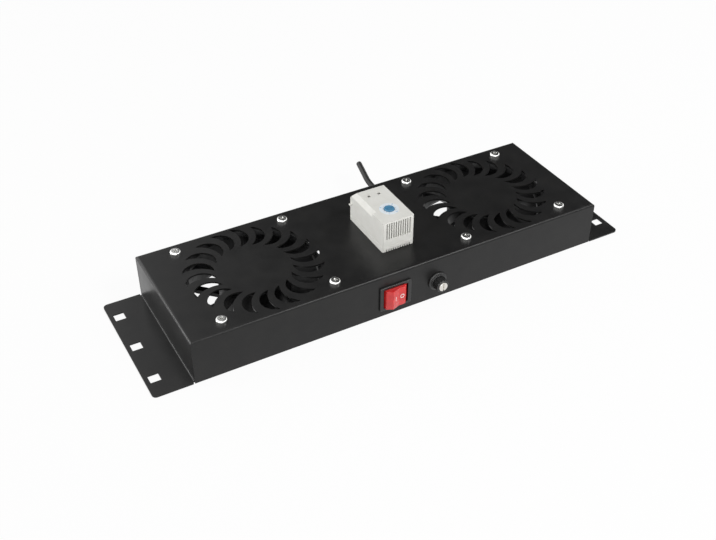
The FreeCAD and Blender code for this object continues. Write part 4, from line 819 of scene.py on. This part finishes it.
def dial_scale():
    """The printed ring round the dial: a pale band with ticks and plain numbers."""
    print_low = CASE_TOP - PRINT_SINK
    band = add_rod("dial_band", BAND_RADIUS, over_dial(print_low), "Z", PRINT_THICKNESS, sides=96)
    cut(band, add_rod("hole", DIAL_RADIUS + BAND_GAP, over_dial(print_low - OVERRUN), "Z",
                      3 * OVERRUN, sides=96))
    fit(clean(band), "tray", PRINT_PALE)
    ticks, numbers = [], []
    for step in range(TICKS):
        angle = SCALE_START - step * SCALE_STEP
        end = LONG_TICK_END if step in SCALE_NUMBERS else TICK_END
        tick = add_block("tick", mm(TICK_START, -0.14, 0) + over_dial(print_low),
                         mm(end, 0.14, 0.1) + over_dial(print_low))
        turn_piece(tick, over_dial(0), angle)
        ticks.append(tick)
    fit(gather("dial_ticks", ticks), "tray", PRINT_BLUE)
    for step, words in SCALE_NUMBERS.items():
        turn = math.radians(SCALE_START - step * SCALE_STEP)
        numbers.append(written(words, 1.7 * MM, over_dial(CASE_TOP + 0.03 * MM) + mm(
            NUMBER_RADIUS * math.cos(turn), NUMBER_RADIUS * math.sin(turn), 0)))
    fit(gather("dial_numbers", numbers), "tray", PRINT_BLUE)


def written(words, height, place):
    """Flat figures lying level, as a thin mesh."""
    deselect_all()
    bpy.ops.object.text_add(location=place)
    figure = bpy.context.active_object.data
    figure.body = words
    figure.size = height
    figure.align_x = "CENTER"
    figure.align_y = "CENTER"
    figure.extrude = PRINT_SINK
    figure.resolution_u = 4
    bpy.ops.object.convert(target="MESH")
    return settle("figure")


thermostat_case()
thermostat_knob()
dial_scale()


# ---------------- rocker switch
SWITCH_MIDDLE = middle_of("switch_frame")
PIVOT = point(SWITCH_MIDDLE.x, FRONT + 1.5 * MM, SWITCH_MIDDLE.z)
BEZEL_FACE = FRONT - 2 * MM
# Half length, half height, and front and back from the bezel's face, in millimetres.
BEZEL = (15.8, 12.7, 0, 2)
HOUSING = (14.1, 11, 1.6, 27)
LAMP_ROOM = (5, 4, 8, 18)
BEHIND_WELL = (20, 20, 11, 40)
LATCH_ENDS = (13.6, 15.1)
LATCH_FRONT, LATCH_BACK, LATCH_HALF_HEIGHT = 3.7, 9.7, 5
ROCKER_RADIUS = 12.4 * MM
ROCKER_END = ROCKER_RADIUS * 0.962  # where the end slopes meet the bezel's face
ROCKER_HALF = 9.8 * MM
ROCKER_BACK = 4 * MM  # behind the pivot
ROCKER_TILT = 11  # degrees
HOLLOW_LOW, HOLLOW_HIGH = mm(-6, 0.5, -7.3), mm(6, 5, 7.3)
WELL_GAP = 0.35 * MM
OPENING_HALF = ROCKER_HALF + 0.3 * MM
PIN_RADIUS = 1.5 * MM
PIN_HOLE_RADIUS = 1.55 * MM
PIN_SINK = 0.6 * MM
PIN_LENGTH = 1.3 * MM
PIN_HOLE_REACH = ROCKER_HALF + 0.8 * MM
RIDGE_X = 7 * MM
RIDGE_RISE = 4 * MM
VALLEY_DROP = 1.2 * MM
MARK_DEPTH = 0.16 * MM
MARK_PROUD = MARK_DEPTH * 0.3
MARK_BAR = mm(0.35, 0, 2.2)
MARK_RING = (2.1 * MM, 1.45 * MM)


def around_switch(x, y, z):
    """A point in millimetres: x and z from the switch's middle, y from the bezel's face inwards."""
    return point(PIVOT.x + x * MM, BEZEL_FACE + y * MM, PIVOT.z + z * MM)


def switch_block(name, half_length, half_height, front, back):
    """A block round the switch's middle line, in millimetres."""
    return add_block(name, around_switch(-half_length, front, -half_height),
                     around_switch(half_length, back, half_height))


def pivot_rod(name, radius, reach, sides=32):
    """A bar on the pivot's line that reaches equally far up and down."""
    return add_rod(name, radius, PIVOT - point(0, 0, reach), "Z", 2 * reach, sides)


def switch_housing():
    """Bezel and body in one, with the rocker's well, the lamp's room and the pivots' sockets."""
    bezel = switch_block("switch_housing", *BEZEL)
    round_edges(bezel, parallel_to("Y"), 1.0 * MM)
    round_edges(bezel, in_front_of(BEZEL_FACE + NEAR), 0.7 * MM, segments=3)
    body = switch_block("body", *HOUSING)
    for side in (-1, 1):
        near, far = sorted(side * end for end in LATCH_ENDS)
        latch = add_block("latch", around_switch(near, LATCH_FRONT, -LATCH_HALF_HEIGHT),
                          around_switch(far, LATCH_BACK, LATCH_HALF_HEIGHT))
        shift_corners(latch, lambda corner: corner.co.y > FRONT + 6 * MM
                      and abs(corner.co.x - PIVOT.x) > 14.5 * MM, (-side * 1.5 * MM, 0, 0))
        weld(body, latch)
    weld(bezel, body)
    well = pivot_rod("well", ROCKER_RADIUS + WELL_GAP, OPENING_HALF, sides=128)
    cut(well, switch_block("behind", *BEHIND_WELL))
    cut(bezel, well, switch_block("room", *LAMP_ROOM),
        pivot_rod("pins", PIN_HOLE_RADIUS, PIN_HOLE_REACH))
    ease_edges(clean(bezel), 0.22 * MM)
    fit(bezel, "tray", SWITCH_BLACK, ["switch_frame"])


def rocker():
    """Shallow valley between two ridges, a slope at each end, then tilted to one side."""
    low = around_switch(0, 0, 0) - point(ROCKER_END, RIDGE_RISE, ROCKER_HALF)
    body = add_block("rocker", low, point(PIVOT.x + ROCKER_END, PIVOT.y + ROCKER_BACK,
                                          PIVOT.z + ROCKER_HALF))
    slice_at(body, PIVOT.x - RIDGE_X, PIVOT.x, PIVOT.x + RIDGE_X)

    def in_front(test):
        """Front corners whose distance from the middle passes a test."""
        return lambda corner: corner.co.y < low.y + NEAR and test(abs(corner.co.x - PIVOT.x))

    shift_corners(body, in_front(lambda reach: reach < NEAR), (0, VALLEY_DROP, 0))
    shift_corners(body, in_front(lambda reach: reach > RIDGE_X + NEAR), (0, RIDGE_RISE, 0))
    combine(body, "INTERSECT", [pivot_rod("drum", ROCKER_RADIUS, 20 * MM, sides=160)])
    cut(body, add_block("hollow", PIVOT + HOLLOW_LOW, PIVOT + HOLLOW_HIGH))
    apply_modifier(clean(body), "BEVEL", width=0.55 * MM, segments=4, limit_method="ANGLE",
                   angle_limit=math.radians(14), use_clamp_overlap=True)
    smooth(body, 35)
    pins = [add_rod("pin", PIN_RADIUS, PIVOT + point(0, 0, side * (ROCKER_HALF - PIN_SINK)), "Z",
                    side * PIN_LENGTH, sides=32) for side in (-1, 1)]
    body = gather("rocker", [body] + pins)
    turn_piece(body, PIVOT, ROCKER_TILT)
    fit(body, "rocker", ROCKER_RED, ["switch_rocker"])


def rocker_marks():
    """I on one slope and O on the other, moulded a hair proud."""
    slope = math.degrees(math.atan2(VALLEY_DROP, RIDGE_X))
    left, right = (point(PIVOT.x + side * RIDGE_X * 0.52,
                         BEZEL_FACE - RIDGE_RISE + VALLEY_DROP * 0.48, PIVOT.z)
                   for side in (-1, 1))
    bar = add_block("rocker_mark_on", left - MARK_BAR - point(0, MARK_PROUD, 0),
                    left + MARK_BAR + point(0, MARK_DEPTH, 0))
    turn_piece(bar, left, slope)
    outer, inner = MARK_RING
    ring = add_rod("rocker_mark_off", outer, right - point(0, MARK_PROUD, 0), "Y",
                   MARK_DEPTH + MARK_PROUD, sides=48)
    cut(ring, add_rod("hole", inner, right - point(0, OVERRUN, 0), "Y", 3 * OVERRUN, sides=48))
    turn_piece(ring, right, -slope)
    for mark in (bar, ring):
        turn_piece(mark, PIVOT, ROCKER_TILT)
        ease_edges(mark, 0.04 * MM, segments=1)
        fit(mark, "rocker", MARK_WHITE)


switch_housing()
rocker()
rocker_marks()


# ---------------- fuse holder
FUSE_LOW, FUSE_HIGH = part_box("fuse_holder_body")
FUSE_MIDDLE = (FUSE_LOW + FUSE_HIGH) / 2
RIM_FACE = FUSE_LOW.y
FLANGE_FACE = FRONT - 2 * MM
FLANGE_RADIUS = 9.3 * MM
RIM_RADIUS = 7.6 * MM
BARREL_RADIUS = 6.0 * MM
BORE_RADIUS = 4.9 * MM
OVERLAP = 0.5 * MM  # how far joined lengths run into each other
CAP_FACE, CAP_SKIRT_END = (corner.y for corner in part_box("fuse_cap"))
CAP_SEAT = FRONT - 2.2 * MM
CAP_RADIUS = 6.2 * MM
CAP_GAP = 0.4 * MM
SKIRT_RADIUS = 4.6 * MM
FLUTES = 14
FLUTE_RADIUS = 0.8 * MM
FLUTE_OUT = 0.35 * MM  # the flutes' middles lie this far outside the cap
FLUTE_STOP = 0.6 * MM
FUSE_FRONT, FUSE_END = (corner.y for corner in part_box("fuse_end_caps"))
FUSE_BORE_RADIUS = 2.8 * MM
FUSE_BORE_LENGTH = 20 * MM
SOCKET_RADIUS = 4.3 * MM
SOCKET_DEPTH = 1.4 * MM
DISC_RADIUS = 4.25 * MM
DISC_SLOT_LOW, DISC_SLOT_HIGH = mm(-0.6, -1, -5), mm(0.6, 1.2, 5)


def along_fuse(y):
    """A point on the holder's axis."""
    return point(FUSE_MIDDLE.x, y, FUSE_MIDDLE.z)


def fuse_rod(name, radius, front, back, sides=64, offset=ORIGIN):
    """A bar along the holder's axis, or beside it."""
    return add_rod(name, radius, along_fuse(front) + offset, "Y", back - front, sides)


def fuse_socket():
    """Round flange with a raised rim, and the barrel behind the wall."""
    flange = fuse_rod("fuse_socket", FLANGE_RADIUS, FLANGE_FACE, FRONT, sides=96)
    round_edges(flange, in_front_of(FLANGE_FACE + NEAR), 1.1 * MM, segments=5)
    weld(flange, fuse_rod("rim", RIM_RADIUS, RIM_FACE, FLANGE_FACE + OVERLAP, sides=96),
         fuse_rod("barrel", BARREL_RADIUS, FRONT - OVERLAP, FUSE_HIGH.y))
    cut(flange, fuse_rod("bore", BORE_RADIUS, RIM_FACE - OVERRUN, FUSE_END + 1 * MM),
        fuse_rod("well", CAP_RADIUS + CAP_GAP, RIM_FACE - OVERRUN, FLANGE_FACE, sides=96))
    ease_edges(clean(flange), 0.35 * MM, segments=3)
    fit(flange, "tray", HOLDER_BLACK, ["fuse_holder_body"])


def fluted_cap():
    """The cap's fluted head and the skirt that holds the cartridge."""
    head = fuse_rod("fuse_cap_head", CAP_RADIUS, CAP_FACE, CAP_SEAT, sides=112)
    round_edges(head, in_front_of(CAP_FACE + NEAR), 0.9 * MM)
    flutes = []
    for i in range(FLUTES):
        turn = math.tau * i / FLUTES
        offset = point(math.cos(turn), 0, math.sin(turn)) * (CAP_RADIUS + FLUTE_OUT)
        flutes.append(fuse_rod("flute", FLUTE_RADIUS, CAP_FACE - OVERRUN, CAP_SEAT - FLUTE_STOP,
                               sides=20, offset=offset))
    cut(head, gather("flutes", flutes))
    weld(head, fuse_rod("skirt", SKIRT_RADIUS, CAP_SEAT - OVERLAP, CAP_SKIRT_END))
    bore_start = FUSE_FRONT - 0.3 * MM
    cut(head, fuse_rod("bore", FUSE_BORE_RADIUS, bore_start, bore_start + FUSE_BORE_LENGTH,
                       sides=48),
        fuse_rod("socket", SOCKET_RADIUS, CAP_FACE - OVERRUN, CAP_FACE + SOCKET_DEPTH))
    ease_edges(clean(head), 0.12 * MM)
    fit(head, "fuse_cap", HOLDER_BLACK, ["fuse_cap"])


def slotted_end():
    """The bright contact in the cap's end, with its screwdriver slot."""
    face, back = (corner.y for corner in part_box("fuse_cap_insert"))
    disc = fuse_rod("fuse_cap_end", DISC_RADIUS, face, back)
    round_edges(disc, in_front_of(face + NEAR), 0.35 * MM, segments=3)
    middle = along_fuse(face)
    cut(disc, add_block("slot", middle + DISC_SLOT_LOW, middle + DISC_SLOT_HIGH))
    ease_edges(clean(disc), 0.08 * MM)
    fit(disc, "fuse_cap", NICKEL, ["fuse_cap_insert"])


fuse_socket()
fluted_cap()
slotted_end()


# ---------------- carried nodes
CARRIED = {
    "fan_lock_washers": ZINC, "fan_nuts": ZINC, "thermostat_base": CASE_PLASTIC,
    "thermostat_contact_block": BLOCK_PLASTIC, "thermostat_terminal_screws": ZINC,
    "thermostat_bimetal": NICKEL, "thermostat_grommet": RUBBER_BLACK, "switch_lamp": GLASS,
    "switch_tabs": BRASS, "fuse_holder_nut": HOLDER_BLACK, "fuse_glass": GLASS,
    "fuse_end_caps": NICKEL, "fuse_tabs": BRASS, "gland_nut": HOLDER_BLACK,
    "cord_inner_end": SHEATH_BLACK, "earth_screw": ZINC, "earth_washer": ZINC,
    "earth_lug": NICKEL, "earth_nut": ZINC, "terminal_block": NATURAL_NYLON,
    "terminal_screws": ZINC, "block_screws": ZINC, "tab_sleeves": NATURAL_NYLON,
    "brown_wires": WIRE_BROWN, "blue_wires": WIRE_BLUE, "earth_wire": WIRE_EARTH,
    "cord_gland": RUBBER_BLACK,
}
for fan in ("left_fan_", "right_fan_"):
    CARRIED.update({
        fan + "stator": CORE_STEEL, fan + "coils": COPPER, fan + "bearings": BEARING_STEEL,
        fan + "shaft": BEARING_STEEL, fan + "clip": ZINC, fan + "terminal": HOLDER_BLACK,
        fan + "lead": SHEATH_BLACK, fan + "frame": FAN_PLASTIC, fan + "rotor": BLADE_PLASTIC,
    })
for node, material in CARRIED.items():
    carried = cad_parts[node]
    carried.data.materials.clear()
    carried.data.materials.append(material)


# ---------------- mains cord
CORD_DIAMETER = 5.8 * MM
gland = middle_of("cord_gland")
CORD_EXIT = point(gland.x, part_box("cord_gland")[1].y, gland.z)
CORD_ROUTE = [CORD_EXIT, CORD_EXIT + mm(0, 11.5, 0), CORD_EXIT + mm(5.3, 30.95, -0.6),
              CORD_EXIT + mm(10.6, 50.4, -2.0)]


def mains_cord():
    """The cord's stub: straight out of the gland, then in one soft curve to its cut end."""
    line = bpy.data.curves.new("mains_cord", "CURVE")
    line.dimensions = "3D"
    line.bevel_depth = CORD_DIAMETER / 2
    line.bevel_resolution = 8
    line.resolution_u = 16
    line.use_fill_caps = True
    spline = line.splines.new("NURBS")
    spline.points.add(len(CORD_ROUTE) - 1)
    for knot, place in zip(spline.points, CORD_ROUTE):
        knot.co = (*place, 1)
    spline.order_u = 3
    spline.use_endpoint_u = True
    cord = bpy.data.objects.new("mains_cord", line)
    bpy.context.scene.collection.objects.link(cord)
    cord.data.materials.append(SHEATH_BLACK)
    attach(cord, "tray")
    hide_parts("power_cord")


mains_cord()


# ---------------- studio
WHITE = (1, 1, 1, 1)
ROOM_LIGHT = 0.488
HORIZON_GLOW = 1.0
HORIZON = (0.02, 0.24)  # heights between which the glow gives way to the ceiling
# Stretches of the ceiling along X: start, end, and the strength at each.
CEILING_RUNS = ((-0.30, -0.02, 2.6, 0.0), (0.10, 0.28, 1.65, 0.06), (0.64, 0.86, 0.0, 2.0))
FLOOR_GREY = 0.88
FLOOR_SIZE = 12
FLOOR_LEVEL = -0.0003
FLOOR_CAMERA_SHARE = 0.94  # of plain white in what the camera sees
FLOOR_MIRROR_SHARE = 0.95
SOFTBOXES = {  # place, aim, width, height, power
    "key_softbox": ((0.82, -1.16, 1.42), (0, 0, 0), 0.8, 0.8, 20),
    "left_softbox": ((-1.9, 0.95, 0.2), (-0.1, 0, 0), 0.9, 0.6, 26),
    "front_softbox": ((-0.6, -2.0, 0.35), (0, 0, 0), 1.2, 0.5, 7),
}
CAMERA_TURNS = (-29.02, 37.85, 0.14)  # azimuth, elevation and roll in degrees
CAMERA_TARGET = mm(-14.13, 2.82, 0.3)
CAMERA_DISTANCE = 955.25 * MM
CAMERA_LENS = 51.03
CAMERA_SENSOR = 36


def joined(tree, kind, *sources):
    """A new shader node whose first inputs take sockets or plain values; gives its output."""
    node = tree.nodes.new("ShaderNode" + kind)
    for socket, source in zip(node.inputs, sources):
        if isinstance(source, bpy.types.NodeSocket):
            tree.links.new(source, socket)
        else:
            socket.default_value = source
    return node.outputs[0] if node.outputs else None


def computed(tree, operation, first, second):
    """The larger or the product of two sources."""
    result = joined(tree, "Math", first, second)
    result.node.operation = operation
    return result


def share_of_rays(tree, camera_share, mirror_share):
    """How much a stage surface shows its plain white to the camera and to reflections."""
    path = tree.nodes.new("ShaderNodeLightPath").outputs
    mirrored = computed(tree, "MAXIMUM", path["Is Glossy Ray"], path["Is Transmission Ray"])
    return computed(tree, "MAXIMUM",
                    computed(tree, "MULTIPLY", path["Is Camera Ray"], camera_share),
                    computed(tree, "MULTIPLY", mirrored, mirror_share))


def floor_material():
    """White floor: lit plainly, shown near white, with the shadow kept."""
    material = bpy.data.materials.new("studio_floor")
    material.use_nodes = True
    tree = material.node_tree
    tree.nodes.clear()
    lit = joined(tree, "BsdfDiffuse", (FLOOR_GREY, FLOOR_GREY, FLOOR_GREY, 1))
    white = joined(tree, "Emission", WHITE, 1.0)
    share = share_of_rays(tree, FLOOR_CAMERA_SHARE, FLOOR_MIRROR_SHARE)
    joined(tree, "OutputMaterial", joined(tree, "MixShader", share, lit, white))
    return material


def studio_floor():
    deselect_all()
    bpy.ops.mesh.primitive_plane_add(size=FLOOR_SIZE, location=(0, 0, FLOOR_LEVEL))
    floor = settle("studio_floor")
    floor.data.materials.append(floor_material())


def studio_world():
    """An even room: white to the camera, and to reflections a ceiling over a bright horizon."""
    world = bpy.data.worlds.new("studio_world")
    bpy.context.scene.world = world
    world.use_nodes = True
    tree = world.node_tree
    tree.nodes.clear()

    def ranged(source, *run):
        result = joined(tree, "MapRange", source, *run)
        result.node.interpolation_type = "SMOOTHSTEP"
        return result

    direction = tree.nodes.new("ShaderNodeTexCoord").outputs["Generated"]
    parts = joined(tree, "SeparateXYZ", direction).node
    ceiling = 0.0
    for run in CEILING_RUNS:
        ceiling = computed(tree, "MAXIMUM", ranged(parts.outputs["X"], *run), ceiling)
    blend = tree.nodes.new("ShaderNodeMix")
    tree.links.new(ranged(parts.outputs["Z"], *HORIZON, 0.0, 1.0), blend.inputs["Factor"])
    blend.inputs["A"].default_value = HORIZON_GLOW
    tree.links.new(ceiling, blend.inputs["B"])
    gloss = joined(tree, "Background", WHITE, blend.outputs["Result"])
    room = joined(tree, "Background", WHITE, ROOM_LIGHT)
    shown = joined(tree, "Background", WHITE, 1.0)
    path = tree.nodes.new("ShaderNodeLightPath").outputs
    around = joined(tree, "MixShader", path["Is Glossy Ray"], room, gloss)
    joined(tree, "OutputWorld", joined(tree, "MixShader", path["Is Camera Ray"], around, shown))


def softbox(name, place, aim, width, height, power):
    """A rectangular lamp that faces its aim."""
    deselect_all()
    bpy.ops.object.light_add(type="AREA", location=place)
    lamp = bpy.context.active_object
    lamp.name = name
    lamp.data.shape = "RECTANGLE"
    lamp.data.size = width
    lamp.data.size_y = height
    lamp.data.energy = power
    lamp.rotation_mode = "QUATERNION"
    lamp.rotation_quaternion = (Vector(aim) - Vector(place)).to_track_quat("-Z", "Y")


def studio_camera():
    azimuth, elevation, roll = (math.radians(turn) for turn in CAMERA_TURNS)
    back = point(math.sin(azimuth) * math.cos(elevation), -math.cos(azimuth) * math.cos(elevation),
                 math.sin(elevation))
    lens = bpy.data.cameras.new("studio_camera")
    lens.sensor_width = CAMERA_SENSOR
    lens.lens = CAMERA_LENS
    lens.clip_start = 0.01
    lens.clip_end = 100
    camera = bpy.data.objects.new("studio_camera", lens)
    bpy.context.scene.collection.objects.link(camera)
    camera.location = CAMERA_TARGET + back * CAMERA_DISTANCE
    camera.rotation_mode = "QUATERNION"
    level = (-back).to_track_quat("-Z", "Y")
    camera.rotation_quaternion = level @ Matrix.Rotation(roll, 3, "Z").to_quaternion()
    bpy.context.scene.camera = camera


studio_floor()
studio_world()
for name, values in SOFTBOXES.items():
    softbox(name, *values)
studio_camera()
bpy.context.scene.view_settings.view_transform = "Standard"
